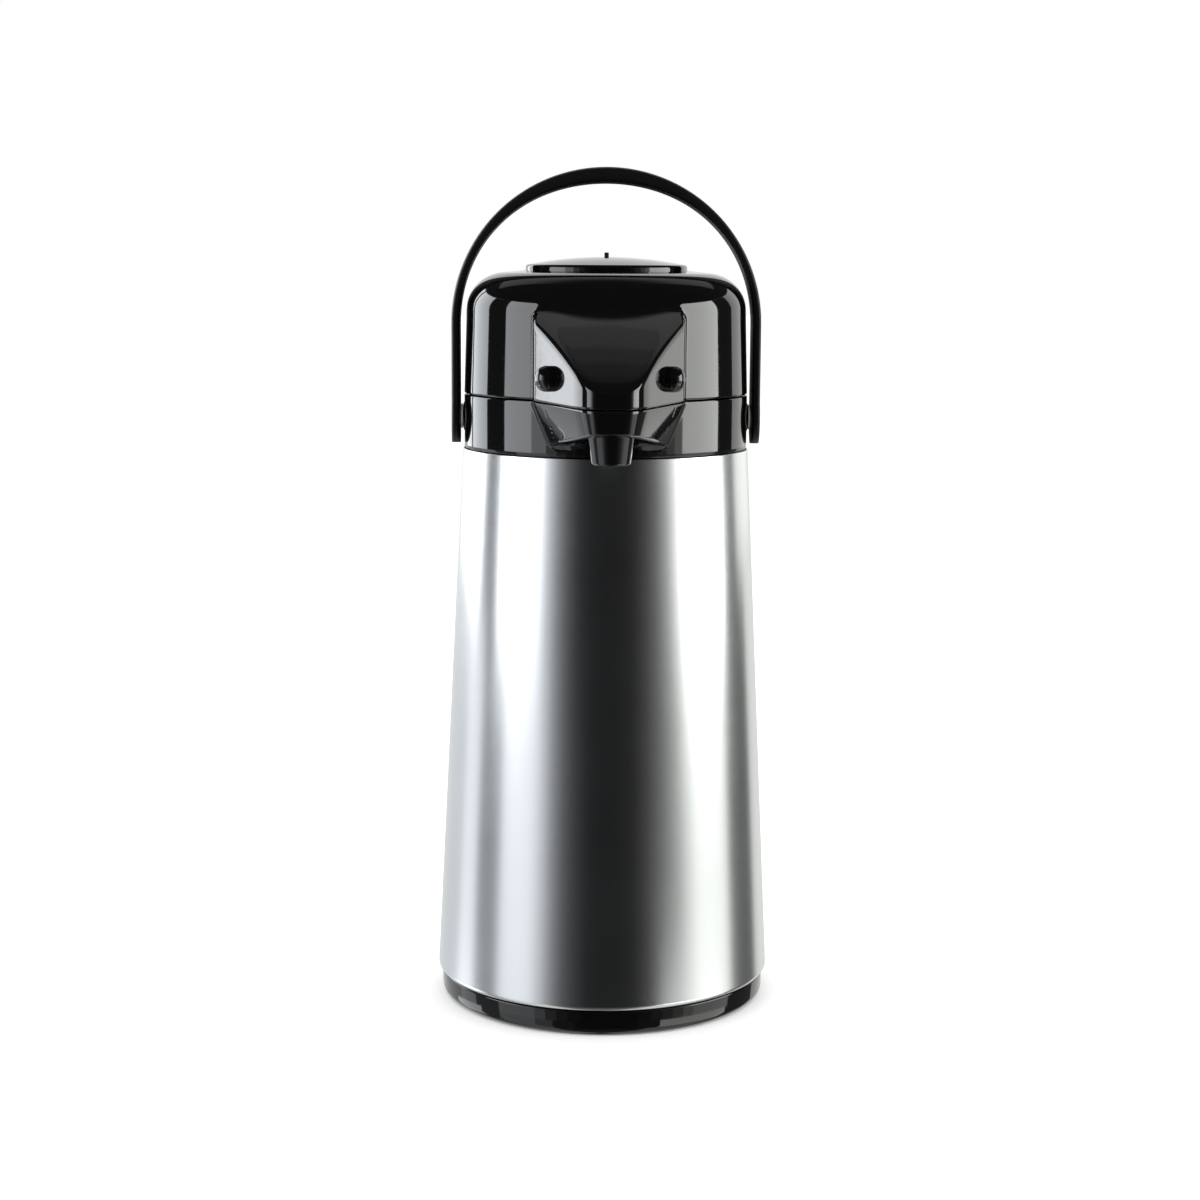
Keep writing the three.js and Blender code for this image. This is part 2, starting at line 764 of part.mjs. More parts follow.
function makePourSystem() {
  const group = new THREE.Group();
  const plugBottom = flaskRim - 14;
  const grooveLow = plugBottom + 4;
  const grooveHigh = grooveLow + 5;
  const groove = plugRadius - 2.2;
  const flangeLow = flaskRim + fitGap + 1.5 + fitGap;
  const socket = siphonRadius + fitGap;
  const body = lathe([
    [socket, plugBottom],
    [plugRadius, plugBottom],
    [plugRadius, grooveLow],
    [groove, grooveLow],
    [groove, grooveHigh],
    [plugRadius, grooveHigh],
    [plugRadius, flangeLow],
    [stopperFlange, flangeLow],
    [stopperFlange, flangeLow + 3],
    [drumRadius, flangeLow + 3],
    [drumRadius, stopperTop],
    [0, stopperTop],
    [0, stopperTop - 1.2],
    [chamberRadius, stopperTop - 1.2],
    [chamberRadius, seatLevel],
    [3.2, seatLevel],
    [3.2, seatLevel - 1.2],
    [socket, seatLevel - 1.2],
  ], medium);
  const outlet = solid(new THREE.CylinderGeometry(tubeRadius + fitGap, tubeRadius + fitGap, drumRadius, small)
    .translate(0, -drumRadius / 2 - 2, tubeLevel));
  const airHole = post(0, airPortY, 2.5, plugBottom - 1, stopperTop + 1, small);
  group.add(piece("pump_stopper", cutBy(body, outlet, airHole), naturalPlastic));
  group.add(piece(
    "stopper_seal",
    ring(groove + fitGap, neckRadius - fitGap, grooveLow + fitGap, grooveHigh - fitGap, medium),
    whiteRubber,
  ));

  const siphonBottom = flaskBottom + glassWall * 2 + vacuumGap + 9;
  group.add(piece(
    "siphon_tube",
    ring(siphonRadius - 1.2, siphonRadius, siphonBottom, seatLevel - 1.2 - fitGap, small),
    naturalPlastic,
  ));

  const bend = 5.2;
  const route = new THREE.CurvePath();
  const start = -chamberRadius - 2.5;
  route.add(new THREE.LineCurve3(
    new THREE.Vector3(0, start, tubeLevel),
    new THREE.Vector3(0, nozzleY + bend, tubeLevel),
  ));
  route.add(new THREE.QuadraticBezierCurve3(
    new THREE.Vector3(0, nozzleY + bend, tubeLevel),
    new THREE.Vector3(0, nozzleY, tubeLevel),
    new THREE.Vector3(0, nozzleY, tubeLevel - bend),
  ));
  route.add(new THREE.LineCurve3(
    new THREE.Vector3(0, nozzleY, tubeLevel - bend),
    new THREE.Vector3(0, nozzleY, nozzleBottom + 1.5),
  ));
  const longer = new THREE.CurvePath();
  longer.add(new THREE.LineCurve3(
    new THREE.Vector3(0, start + 2, tubeLevel),
    new THREE.Vector3(0, nozzleY + bend, tubeLevel),
  ));
  longer.add(route.curves[1]);
  longer.add(new THREE.LineCurve3(
    new THREE.Vector3(0, nozzleY, tubeLevel - bend),
    new THREE.Vector3(0, nozzleY, nozzleBottom - 2),
  ));
  const pourTube = rod(route, tubeRadius, 30, 8).subtract(rod(longer, tubeBore, 30, 8));
  group.add(piece("pour_tube", pourTube, naturalPlastic));

  const nozzleTop = collarTop - hullDepth + (-nozzleY - beakCrease) * hullRise;
  const bore = tubeRadius + fitGap;
  const nozzle = cutBy(
    lathe([
      [bore, nozzleBottom + 4],
      [nozzleEndRadius - 2.2, nozzleBottom],
      [nozzleEndRadius, nozzleBottom],
      [nozzleTopRadius, nozzleTop + 3],
      [bore, nozzleTop + 3],
    ], small + 8).translate([0, nozzleY, 0]),
    solidAboveHull(),
  );
  const neck = ring(bore, nozzleNeck, nozzleBottom + 6, nozzleTop + 3.0, small + 4);
  group.add(piece("spout_nozzle", joined(nozzle, neck.translate([0, nozzleY, 0])), glossBlack));
  return group;
}

// The region above the housing's underside, less a fitting gap: it trims the nozzle's shoulder.
function solidAboveHull() {
  const room = block(-30, 30, -beakReach - 20, -beakCrease, collarTop - hullDepth - 10, collarTop + 20);
  return room.subtract(belowHull(-fitGap));
}

// ---------------------------------------------------------------- lid

// The frame of one release button: local +X runs out through the cheek.
function releaseFrame(side) {
  const run = new THREE.Vector2(cheekNormal.y, -cheekNormal.x);
  const place = new THREE.Vector2(beakHalfWidth, -beakCrease).addScaledVector(run, releaseFromCrease);
  const frame = new THREE.Group();
  frame.position.set(side * place.x, place.y, seamLevel + releaseHeight);
  frame.rotation.z = side > 0 ? cheekAngle : Math.PI - cheekAngle;
  frame.updateMatrix();
  return frame;
}

// A profile of [radius, distance out of the cheek] points turned about a release button's axis.
function releaseLathe(profile, segments) {
  const points = profile.map(([r, u]) => new THREE.Vector2(r, u));
  return new THREE.LatheGeometry(points, segments).rotateZ(-Math.PI / 2);
}

function lidOutside() {
  const side = headRadius - lidSideTaper;
  const profile = [
    [0, lidBottom],
    [headRadius - 0.4, lidBottom],
    [headRadius, lidBottom + 0.4],
    ...arc(side - lidCornerWidth, hoodTop, lidCornerWidth, lidCornerHeight, 0, 90, 5),
    [0, lidTop + lidCrown],
  ];
  return lathe(profile, wide);
}

function lidInside() {
  const side = headRadius - lidSideTaper;
  const profile = [
    [0, lidBottom - 1],
    [lidInner, lidBottom - 1],
    ...arc(
      side - lidCornerWidth,
      hoodTop,
      lidCornerWidth - lidWall,
      lidCornerHeight - lidWall,
      0,
      90,
      4,
    ),
    [0, lidTop - lidWall + 0.3],
  ];
  return lathe(profile, wide);
}

function makeLidShell() {
  const back = flankStart - 2.0;
  const hood = solid(beakBar(0, lidBottom, hoodTop + 2, back)).intersect(underHood(0));
  const hoodInside = solid(beakBar(beakWall, lidBottom - 1, hoodTop + 2, back - 8))
    .intersect(underHood(beakWall));
  const hollow = joined(lidInside(), hoodInside);
  const shell = joined(lidOutside(), hood).subtract(hollow);

  const guide = lathe([
    [wellRadius, guideBottom],
    [guideRadius + 2.2, guideBottom],
    [guideRadius + 2.2, guideBottom + 2.4],
    [guideRadius, guideBottom + 4.4],
    [guideRadius, lidTop],
    [wellRadius, lidTop],
  ], wide);
  const bosses = screwPlaces().map(([x, y]) =>
    post(x, y, bossRadius, pumpTop + fitGap, lidTop, small).intersect(lidOutside()));
  const ribs = [-1, 1].map((side) => {
    const frame = releaseFrame(side);
    const rib = new THREE.BoxGeometry(2, 11, hoodTop - seamLevel);
    rib.translate(springSeat - 1, 0, 2 + (hoodTop - seamLevel) / 2 - releaseHeight);
    return solid(rib.applyMatrix4(frame.matrix)).intersect(hood);
  });
  const knuckle = joined(
    barrel(-knuckleHalf, knuckleHalf, hingeY, seamLevel, hingeBarrel, small),
    block(-knuckleHalf, knuckleHalf, headRadius - 2.0, hingeY, lidBottom, lidBottom + 6.5),
  );
  const well = disc(wellRadius, guideBottom - 2, lidTop + lidCrown + 2, wide);
  const screwHoles = screwPlaces().map(([x, y]) =>
    post(x, y, screwRadius + fitGap, pumpTop - 1, pumpTop + fitGap + screwDepth, small));
  const buttonHoles = [-1, 1].map((side) => {
    const hole = releaseLathe([
      [0, -beakWall - 3],
      [releaseRadius + fitGap, -beakWall - 3],
      [releaseRadius + fitGap, 6],
      [0, 6],
    ], small + 4);
    return solid(hole.applyMatrix4(releaseFrame(side).matrix));
  });
  const lugRoom = [-1, 1].map((side) => {
    const near = side * knuckleHalf;
    const far = side * (knuckleHalf + fitGap + lugWidth + fitGap);
    return barrel(
      Math.min(near, far),
      Math.max(near, far),
      hingeY,
      seamLevel,
      hingeBarrel + runGap,
      small,
    );
  });
  const pinHole = barrel(-40, 40, hingeY, seamLevel, hingePin + fitGap, small);
  return cutBy(
    joined(shell, guide, ...bosses, ...ribs, knuckle),
    well,
    ...screwHoles,
    ...buttonHoles,
    ...lugRoom,
    pinHole,
  );
}

function screwPlaces() {
  return [90, 210, 330].map((angle) => {
    const turn = THREE.MathUtils.degToRad(angle);
    return [screwCircle * Math.cos(turn), screwCircle * Math.sin(turn)];
  });
}

function makeLid() {
  const group = new THREE.Group();
  group.add(piece("lid_shell", makeLidShell(), glossBlack));

  const housing = lathe([
    [0, pumpBottom],
    [screwCircle + bossRadius, pumpBottom],
    [screwCircle + bossRadius, pumpTop],
    [housingOuter, pumpTop],
    [housingOuter, lockTop],
    [housingInner, lockTop],
    [housingInner, lockBottom - fitGap],
    [lockInner + 1, lockBottom - fitGap],
    [lockInner + 1, lockBottom - 3],
    [housingInner, lockBottom - 5.5],
    [housingInner, pumpTop],
    [0, pumpTop],
  ], wide);
  const airHole = post(0, airPortY, 2.5, pumpBottom - 1, pumpTop + 1, small);
  const intake = post(0, -intakeY, 2.0, pumpBottom - 1, pumpTop + 1, small);
  const holes = screwPlaces().map(([x, y]) =>
    post(x, y, screwRadius + fitGap, pumpBottom - 1, pumpTop + 1, small));
  group.add(piece("pump_housing", cutBy(housing, airHole, intake, ...holes), naturalPlastic));

  screwPlaces().forEach(([x, y], i) => {
    const screw = piece(`lid_screw_${i + 1}`, lathe([
      [0, pumpBottom - fitGap - 1.8],
      [2.4, pumpBottom - fitGap - 1.8],
      [3.2, pumpBottom - fitGap - 0.9],
      [3.2, pumpBottom - fitGap],
      [screwRadius, pumpBottom - fitGap],
      [screwRadius, pumpTop + screwDepth - fitGap],
      [0, pumpTop + screwDepth - fitGap],
    ], small), plainSteel);
    screw.position.set(x, y, 0);
    group.add(screw);
  });

  const portSeal = ring(3.0, 6.0, stopperTop + runGap, pumpBottom - fitGap, small);
  const seal = piece("air_port_seal", portSeal, whiteRubber);
  seal.position.y = airPortY;
  group.add(seal);
  const flap = piece("air_valve_flap", disc(5, pumpTop + fitGap, pumpTop + fitGap + 1, small), greyRubber);
  flap.position.y = -intakeY;
  group.add(flap);

  group.add(piece("bellows", makeBellows(), greyRubber));
  const wire = 0.9;
  const coil = new Coil(coilRadius, bellowsBottom + wire, bellowsTop - wire, 4);
  group.add(piece("bellows_spring", rod(coil, wire, 44, 5), plainSteel));
  return group;
}

function makeBellows() {
  const outer = [];
  const inner = [];
  const pitch = (bellowsTop - bellowsBottom) / (2 * bellowsFolds);
  for (let i = 0; i <= 2 * bellowsFolds; i += 1) {
    const z = bellowsBottom + pitch * i;
    const out = i % 2 === 1;
    outer.push([out ? bellowsRadius : bellowsInner + bellowsWall, z]);
    inner.push([out ? bellowsRadius - bellowsWall : bellowsInner, z]);
  }
  return lathe([...outer, ...inner.reverse()], medium);
}

// ---------------------------------------------------------------- twist lock and push button

function makeLockRing() {
  const body = ring(lockInner, lockOuter, lockBottom, lockTop, wide);
  return piece("lock_ring", body, satinBlack);
}

function makeButton() {
  const group = new THREE.Group();
  const rim = lidTop + 3.8;
  const skirtInner = buttonRadius - buttonWall;
  const hubBottom = guideBottom + 3.3;
  const flange = guideRadius - 0.5;
  const button = lathe([
    [0, hubBottom],
    [8, hubBottom],
    [8, lidTop - 2],
    [skirtInner, lidTop - 2],
    [skirtInner, guideBottom - 2.8],
    [flange, guideBottom - 2.8],
    [flange, guideBottom - fitGap],
    [buttonRadius, guideBottom - fitGap],
    [buttonRadius, rim - 1.2],
    [buttonRadius - 0.7, rim - 0.2],
    [buttonRadius - 2.0, rim],
    [buttonRadius * 0.65, rim + buttonCrown * 0.62],
    [buttonRadius * 0.3, rim + buttonCrown * 0.93],
    [0, rim + buttonCrown],
  ], wide);
  const socket = post(0, 0, pipRadius + fitGap, rim + buttonCrown - 2.5, rim + buttonCrown + 5, small);
  group.add(piece("push_button", button.subtract(socket), glossBlack));
  const pip = lathe([
    [0, rim + buttonCrown - 2.2],
    [pipRadius, rim + buttonCrown - 2.2],
    [pipRadius, rim + buttonCrown + 1.5],
    [pipRadius * 0.7, rim + buttonCrown + 2.1],
    [0, rim + buttonCrown + 2.1],
  ], small);
  group.add(piece("button_index_pip", pip, satinBlack));
  const plate = disc(bellowsInner + 3.5, bellowsTop + fitGap, hubBottom - fitGap, medium);
  group.add(piece("bellows_top_disc", plate, naturalPlastic));
  return group;
}

// ---------------------------------------------------------------- release buttons and latches

function makeRelease(name, side) {
  const frame = releaseFrame(side);
  const straight = releaseReach - 5.0;
  const knob = releaseLathe([
    [0, -6.2],
    [releaseRadius - 0.6, -6.2],
    [releaseRadius + 1.7, -5.4],
    [releaseRadius + 1.7, -beakWall - fitGap],
    [releaseRadius, -beakWall - fitGap],
    [releaseRadius, straight],
    ...arc(releaseRadius - 5, straight, 5.0, 5.0, 25, 90, 4).map(([r, u]) => [r, u]),
    [0, releaseReach],
  ], small + 4);
  frame.add(piece(`release_button_${name}`, solid(knob), glossBlack));

  const armTop = 4.5;
  const armBottom = -releaseHeight - 8.5;
  const arm = new THREE.Shape();
  arm.moveTo(-6.5, armTop);
  arm.lineTo(-9.0, armTop);
  arm.lineTo(-9.0, armBottom);
  arm.lineTo(-7.4, armBottom);
  arm.lineTo(-5.6, armBottom + 1.6);
  arm.lineTo(-5.6, armBottom + 3.4);
  arm.lineTo(-6.5, armBottom + 3.4);
  arm.closePath();
  const hook = new THREE.ExtrudeGeometry(arm, { depth: 6, bevelEnabled: false });
  hook.translate(0, 0, -3).rotateX(Math.PI / 2);
  frame.add(piece(`latch_hook_${name}`, solid(hook), naturalPlastic));

  const wire = 0.5;
  const coil = new Coil(3.2, springSeat + fitGap + wire, -9.0 - fitGap - wire, 3);
  const spring = rod(coil, wire, 27, 4).getMesh();
  const lying = new THREE.BufferGeometry();
  lying.setAttribute("position", new THREE.BufferAttribute(spring.vertProperties, 3));
  lying.setIndex(new THREE.BufferAttribute(spring.triVerts, 1));
  lying.rotateY(Math.PI / 2);
  frame.add(piece(`release_spring_${name}`, solid(lying), plainSteel));
  return frame;
}

// ---------------------------------------------------------------- carry handle

function makeHandle() {
  const steps = 28;
  const outline = new THREE.Shape();
  const foot = pivotLevel - handleEye - 1;
  outline.moveTo(handleInner, foot);
  outline.lineTo(handleOuter, foot);
  for (let i = 0; i <= steps; i += 1) {
    const angle = (Math.PI * i) / steps;
    outline.lineTo(handleOuter * Math.cos(angle), archCentre + handleOuter * Math.sin(angle));
  }
  outline.lineTo(-handleOuter, foot);
  outline.lineTo(-handleInner, foot);
  for (let i = steps; i >= 0; i -= 1) {
    const angle = (Math.PI * i) / steps;
    const thickness = legThickness + (crownThickness - legThickness) * Math.sin(angle) ** 4;
    const radius = handleOuter - thickness;
    outline.lineTo(radius * Math.cos(angle), archCentre + radius * Math.sin(angle));
  }
  outline.closePath();
  const deep = 2 * handleEye + 2;
  const strap = new THREE.ExtrudeGeometry(outline, { depth: deep, bevelEnabled: false });
  strap.translate(0, 0, -deep / 2).rotateX(Math.PI / 2);

  const side = new THREE.Shape();
  const half = handleWidth / 2;
  const eyeAngle = Math.acos(Math.min(half, handleEye) / handleEye);
  side.moveTo(half, handleTop + 5);
  const turns = 14;
  for (let i = 0; i <= turns; i += 1) {
    const angle = eyeAngle - ((Math.PI + 2 * eyeAngle) * i) / turns;
    side.lineTo(handleEye * Math.cos(angle), pivotLevel + handleEye * Math.sin(angle));
  }
  side.lineTo(-half, handleTop + 5);
  side.closePath();
  const across = 2 * handleOuter + 10;
  const band = new THREE.ExtrudeGeometry(side, { depth: across, bevelEnabled: false });
  band.translate(0, 0, -across / 2);
  band.applyMatrix4(new THREE.Matrix4().makeBasis(
    new THREE.Vector3(0, 1, 0),
    new THREE.Vector3(0, 0, 1),
    new THREE.Vector3(1, 0, 0),
  ));
  const socketDepth = 3.0;
  const sockets = barrel(
    -handleInner - socketDepth,
    handleInner + socketDepth,
    0,
    pivotLevel,
    pivotRadius + fitGap,
    small,
  );
  const handle = solid(strap).intersect(solid(band)).subtract(sockets);
  return piece("handle", handle, satinBlack);
}

// ---------------------------------------------------------------- assembly

const airpot = new THREE.Group();
airpot.name = "airpot";
const pot = new THREE.Group();
pot.add(makeBodyShell(), makeFlask(), makeCollar(), makePourSystem());
const ball = piece("valve_ball", solid(new THREE.SphereGeometry(ballRadius, 14, 10)), plainSteel);
ball.position.z = seatLevel + 3.0;
const lid = new THREE.Group();
lid.add(makeLid(), makeLockRing(), makeButton());
lid.add(makeRelease("left", -1), makeRelease("right", 1));
airpot.add(makeBase(), pot, ball, lid, makeHandle());

export default airpot;
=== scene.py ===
"""A push-button thermal airpot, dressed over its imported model: metres, +Z up, spout towards -Y."""

import json
import logging
import math
from dataclasses import dataclass, field
from enum import Enum
from typing import Callable, Iterable

import bmesh
import bpy
from mathutils import Matrix, Vector


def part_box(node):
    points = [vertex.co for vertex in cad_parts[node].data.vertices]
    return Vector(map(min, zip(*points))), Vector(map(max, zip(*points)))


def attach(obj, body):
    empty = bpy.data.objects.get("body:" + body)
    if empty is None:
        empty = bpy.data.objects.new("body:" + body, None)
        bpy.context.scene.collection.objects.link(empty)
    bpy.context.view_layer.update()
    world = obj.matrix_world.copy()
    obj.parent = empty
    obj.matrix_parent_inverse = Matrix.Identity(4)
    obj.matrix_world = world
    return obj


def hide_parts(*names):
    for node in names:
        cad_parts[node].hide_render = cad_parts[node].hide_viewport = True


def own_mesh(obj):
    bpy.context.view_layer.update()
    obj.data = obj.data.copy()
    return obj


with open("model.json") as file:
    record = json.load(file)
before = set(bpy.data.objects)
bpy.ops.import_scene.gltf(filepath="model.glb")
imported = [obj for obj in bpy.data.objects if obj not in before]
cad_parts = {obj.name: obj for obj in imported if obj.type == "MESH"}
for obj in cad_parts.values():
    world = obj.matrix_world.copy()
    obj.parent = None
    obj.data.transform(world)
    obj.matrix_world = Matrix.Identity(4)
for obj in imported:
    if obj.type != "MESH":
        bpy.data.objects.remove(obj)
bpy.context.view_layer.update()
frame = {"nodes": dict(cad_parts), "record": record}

LOG = logging.getLogger("airpot")
MM = 0.001
Profile = list[tuple[float, float]]

# Finishes: noise scales are in cells per metre, the relief's depth in metres.
BROAD_SCALE = 24.0
NOISE_DETAIL = 3.0
EVEN_GRAIN = (1.0, 1.0, 1.0)
ROUND_GRAIN = (0.012, 0.012, 1.0)
RELIEF_DEPTH = 0.0002
COAT_ROUGHNESS = 0.04
LEAST_ROUGHNESS = 0.02
TINT_STOPS = (0.3, 0.7)
WEAR_RANGE = (0.1, 0.4)

# Meshes: lengths in millimetres, angles in radians.
MERGE = 1e-4
DEGENERATE = 1e-5
AXIS = 0.02
SHARP_ANGLE = math.radians(38)
CORNER_STEPS = 6
CORNER_SHARE = 0.49
DOME_STEPS = 18
HINGE_RADIUS = 5.0
HINGE_OFFSET = 4.4

# Head surfaces: how the columns crowd to the front and how the housing joins the wall.
EVEN_SHARE = 0.30
FRONT_POWER = 2.2
LEAST_LEAD = 0.2
MIDDLE_TURN = 0.44
SIDE_FILLET = 1.6


# ------------------------------------------------------------------ finishes


class Grain(Enum):
    """How a surface's fine relief runs."""

    NONE = "none"
    FINE = "fine"
    ROUND = "round"


@dataclass(frozen=True)
class Finish:
    """One procedural finish: a colour with gentle variation, roughness and fine relief."""

    name: str
    colour: tuple[float, float, float]
    rough: float
    rough_spread: float = 0.03
    metal: float = 0.0
    grain: Grain = Grain.FINE
    grain_scale: float = 900.0
    bump: float = 0.02
    vary: float = 0.06
    coat: float = 0.0
    specular: float = 0.5
    anisotropy: float = 0.0

    def build(self) -> bpy.types.Material:
        """Make the finish's material, or return it if it is already made.

        Returns:
            The node material.
        """
        known = bpy.data.materials.get(self.name)
        if known is not None:
            return known
        made = bpy.data.materials.new(self.name)
        made.use_nodes = True
        tree = made.node_tree
        shader = tree.nodes["Principled BSDF"]
        shader.inputs["Metallic"].default_value = self.metal
        shader.inputs["Specular IOR Level"].default_value = self.specular
        shader.inputs["Coat Weight"].default_value = self.coat
        shader.inputs["Coat Roughness"].default_value = COAT_ROUGHNESS
        shader.inputs["Anisotropic"].default_value = self.anisotropy
        place = tree.nodes.new("ShaderNodeTexCoord")
        fine = self._noise(tree, place, self.grain_scale, self.grain is Grain.ROUND)
        broad = self._noise(tree, place, BROAD_SCALE, False)
        self._tint(tree, shader, broad)
        self._gloss(tree, shader, broad, fine)
        if self.grain is not Grain.NONE:
            relief = tree.nodes.new("ShaderNodeBump")
            relief.inputs["Strength"].default_value = self.bump
            relief.inputs["Distance"].default_value = RELIEF_DEPTH
            tree.links.new(fine.outputs["Fac"], relief.inputs["Height"])
            tree.links.new(relief.outputs["Normal"], shader.inputs["Normal"])
        return made

    @staticmethod
    def _noise(
        tree: bpy.types.NodeTree, place: bpy.types.Node, scale: float, brushed: bool
    ) -> bpy.types.Node:
        """Add a noise on object coordinates, drawn out round the axis when brushed.

        Args:
            tree: The material's nodes.
            place: The texture coordinates.
            scale: Cells per metre.
            brushed: Whether the grain runs round the vertical axis.

        Returns:
            The noise node.
        """
        turn = tree.nodes.new("ShaderNodeMapping")
        turn.inputs["Scale"].default_value = ROUND_GRAIN if brushed else EVEN_GRAIN
        noise = tree.nodes.new("ShaderNodeTexNoise")
        noise.inputs["Scale"].default_value = scale
        noise.inputs["Detail"].default_value = NOISE_DETAIL
        tree.links.new(place.outputs["Object"], turn.inputs["Vector"])
        tree.links.new(turn.outputs["Vector"], noise.inputs["Vector"])
        return noise

    def _tint(
        self, tree: bpy.types.NodeTree, shader: bpy.types.Node, broad: bpy.types.Node
    ) -> None:
        """Vary the colour gently over the surface.

        Args:
            tree: The material's nodes.
            shader: The principled shader.
            broad: The large-scale noise.
        """
        ramp = tree.nodes.new("ShaderNodeValToRGB")
        dark = [max(0.0, c * (1.0 - self.vary)) for c in self.colour]
        light = [min(1.0, c * (1.0 + self.vary)) for c in self.colour]
        for stop, position, colour in zip(ramp.color_ramp.elements, TINT_STOPS, (dark, light)):
            stop.position = position
            stop.color = (*colour, 1.0)
        tree.links.new(broad.outputs["Fac"], ramp.inputs["Fac"])
        tree.links.new(ramp.outputs["Color"], shader.inputs["Base Color"])

    def _gloss(
        self,
        tree: bpy.types.NodeTree,
        shader: bpy.types.Node,
        broad: bpy.types.Node,
        fine: bpy.types.Node,
    ) -> None:
        """Vary the roughness with handling marks and the grain.

        Args:
            tree: The material's nodes.
            shader: The principled shader.
            broad: The large-scale noise.
            fine: The fine noise.
        """
        both = tree.nodes.new("ShaderNodeMath")
        both.operation = "MULTIPLY"
        tree.links.new(broad.outputs["Fac"], both.inputs[0])
        tree.links.new(fine.outputs["Fac"], both.inputs[1])
        spread = tree.nodes.new("ShaderNodeMapRange")
        smooth = max(LEAST_ROUGHNESS, self.rough - self.rough_spread)
        worn = min(1.0, self.rough + self.rough_spread)
        spread.inputs["From Min"].default_value = WEAR_RANGE[0]
        spread.inputs["From Max"].default_value = WEAR_RANGE[1]
        spread.inputs["To Min"].default_value = smooth
        spread.inputs["To Max"].default_value = worn
        tree.links.new(both.outputs["Value"], spread.inputs["Value"])
        tree.links.new(spread.outputs["Result"], shader.inputs["Roughness"])


GLOSS_BLACK = Finish("gloss_black_plastic", (0.0022, 0.0022, 0.0024), 0.055, 0.02, bump=0.003,
                     grain_scale=300.0)
SATIN_BLACK = Finish("satin_black_plastic", (0.0035, 0.0035, 0.0038), 0.42, 0.06, bump=0.10,
                     grain_scale=1500.0, specular=0.22)
BRUSHED_STEEL = Finish("brushed_steel_body", (0.63, 0.638, 0.65), 0.235, 0.012, metal=1.0,
                       grain=Grain.ROUND, grain_scale=4200.0, bump=0.006, vary=0.012)
PLAIN_STEEL = Finish("turned_steel", (0.56, 0.565, 0.57), 0.24, 0.06, metal=1.0, bump=0.05)
SILVERED_GLASS = Finish("silvered_glass", (0.82, 0.84, 0.86), 0.06, 0.03, metal=0.9, bump=0.01)
GREY_RUBBER = Finish("grey_rubber", (0.045, 0.045, 0.046), 0.72, 0.08, bump=0.18,
                     grain_scale=2200.0)
WHITE_RUBBER = Finish("white_silicone", (0.66, 0.65, 0.60), 0.52, 0.07, bump=0.08)
NATURAL_PLASTIC = Finish("natural_plastic", (0.66, 0.64, 0.58), 0.42, 0.07, bump=0.06)
NYLON = Finish("glide_nylon", (0.60, 0.60, 0.56), 0.48, 0.07, bump=0.08)

SLOT_FINISH: dict[str, Finish] = {
    "gloss_black": GLOSS_BLACK,
    "satin_black": SATIN_BLACK,
    "brushed_steel": BRUSHED_STEEL,
    "plain_steel": PLAIN_STEEL,
    "silvered_glass": SILVERED_GLASS,
    "grey_rubber": GREY_RUBBER,
    "white_rubber": WHITE_RUBBER,
    "natural_plastic": NATURAL_PLASTIC,
    "nylon": NYLON,
}


# ------------------------------------------------------------------ mesh helpers


def low(node: str) -> Vector:
    """Lowest corner of a node of the frame, in millimetres."""
    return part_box(node)[0] / MM


def high(node: str) -> Vector:
    """Highest corner of a node of the frame, in millimetres."""
    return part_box(node)[1] / MM


def soften(points: Profile, radii: Iterable[float], closed: bool = True) -> Profile:
    """Round a profile's corners.

    Args:
        points: The corners, in millimetres.
        radii: One rounding radius per corner; 0 leaves it sharp.
        closed: Whether the last corner joins the first.

    Returns:
        The rounded profile.
    """
    made: Profile = []
    count = len(points)
    for i, radius in enumerate(radii):
        here = Vector(points[i])
        if radius <= 0 or (not closed and i in (0, count - 1)):
            made.append(tuple(here))
            continue
        back = Vector(points[i - 1]) - here
        ahead = Vector(points[(i + 1) % count]) - here
        reach = min(radius, back.length * CORNER_SHARE, ahead.length * CORNER_SHARE)
        start = here + back.normalized() * reach
        end = here + ahead.normalized() * reach
        for step in range(CORNER_STEPS + 1):
            t = step / CORNER_STEPS
            made.append(tuple(start * (1 - t) ** 2 + here * 2 * t * (1 - t) + end * t * t))
    return made


def dress(
    mesh: bmesh.types.BMesh,
    name: str,
    finish: Finish,
    body: str,
    stands_for: Iterable[str] = (),
) -> bpy.types.Object:
    """Turn a finished mesh in millimetres into a smooth piece of the object.

    Args:
        mesh: The mesh; it is freed.
        name: The piece's name.
        finish: Its finish.
        body: The moving body it rides on.
        stands_for: Nodes of the frame that it replaces.

    Returns:
        The new object.
    """
    bmesh.ops.remove_doubles(mesh, verts=mesh.verts, dist=MERGE)
    bmesh.ops.dissolve_degenerate(mesh, edges=mesh.edges, dist=DEGENERATE)
    bmesh.ops.recalc_face_normals(mesh, faces=mesh.faces)
    bmesh.ops.scale(mesh, vec=(MM, MM, MM), verts=mesh.verts)
    for face in mesh.faces:
        face.smooth = True
    data = bpy.data.meshes.new(name)
    mesh.to_mesh(data)
    mesh.free()
    data.set_sharp_from_angle(angle=SHARP_ANGLE)
    piece = bpy.data.objects.new(name, data)
    bpy.context.scene.collection.objects.link(piece)
    data.materials.append(finish.build())
    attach(piece, body)
    if stands_for:
        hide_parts(*stands_for)
    LOG.info("%s: %d faces on %s", name, len(data.polygons), body)
    return piece


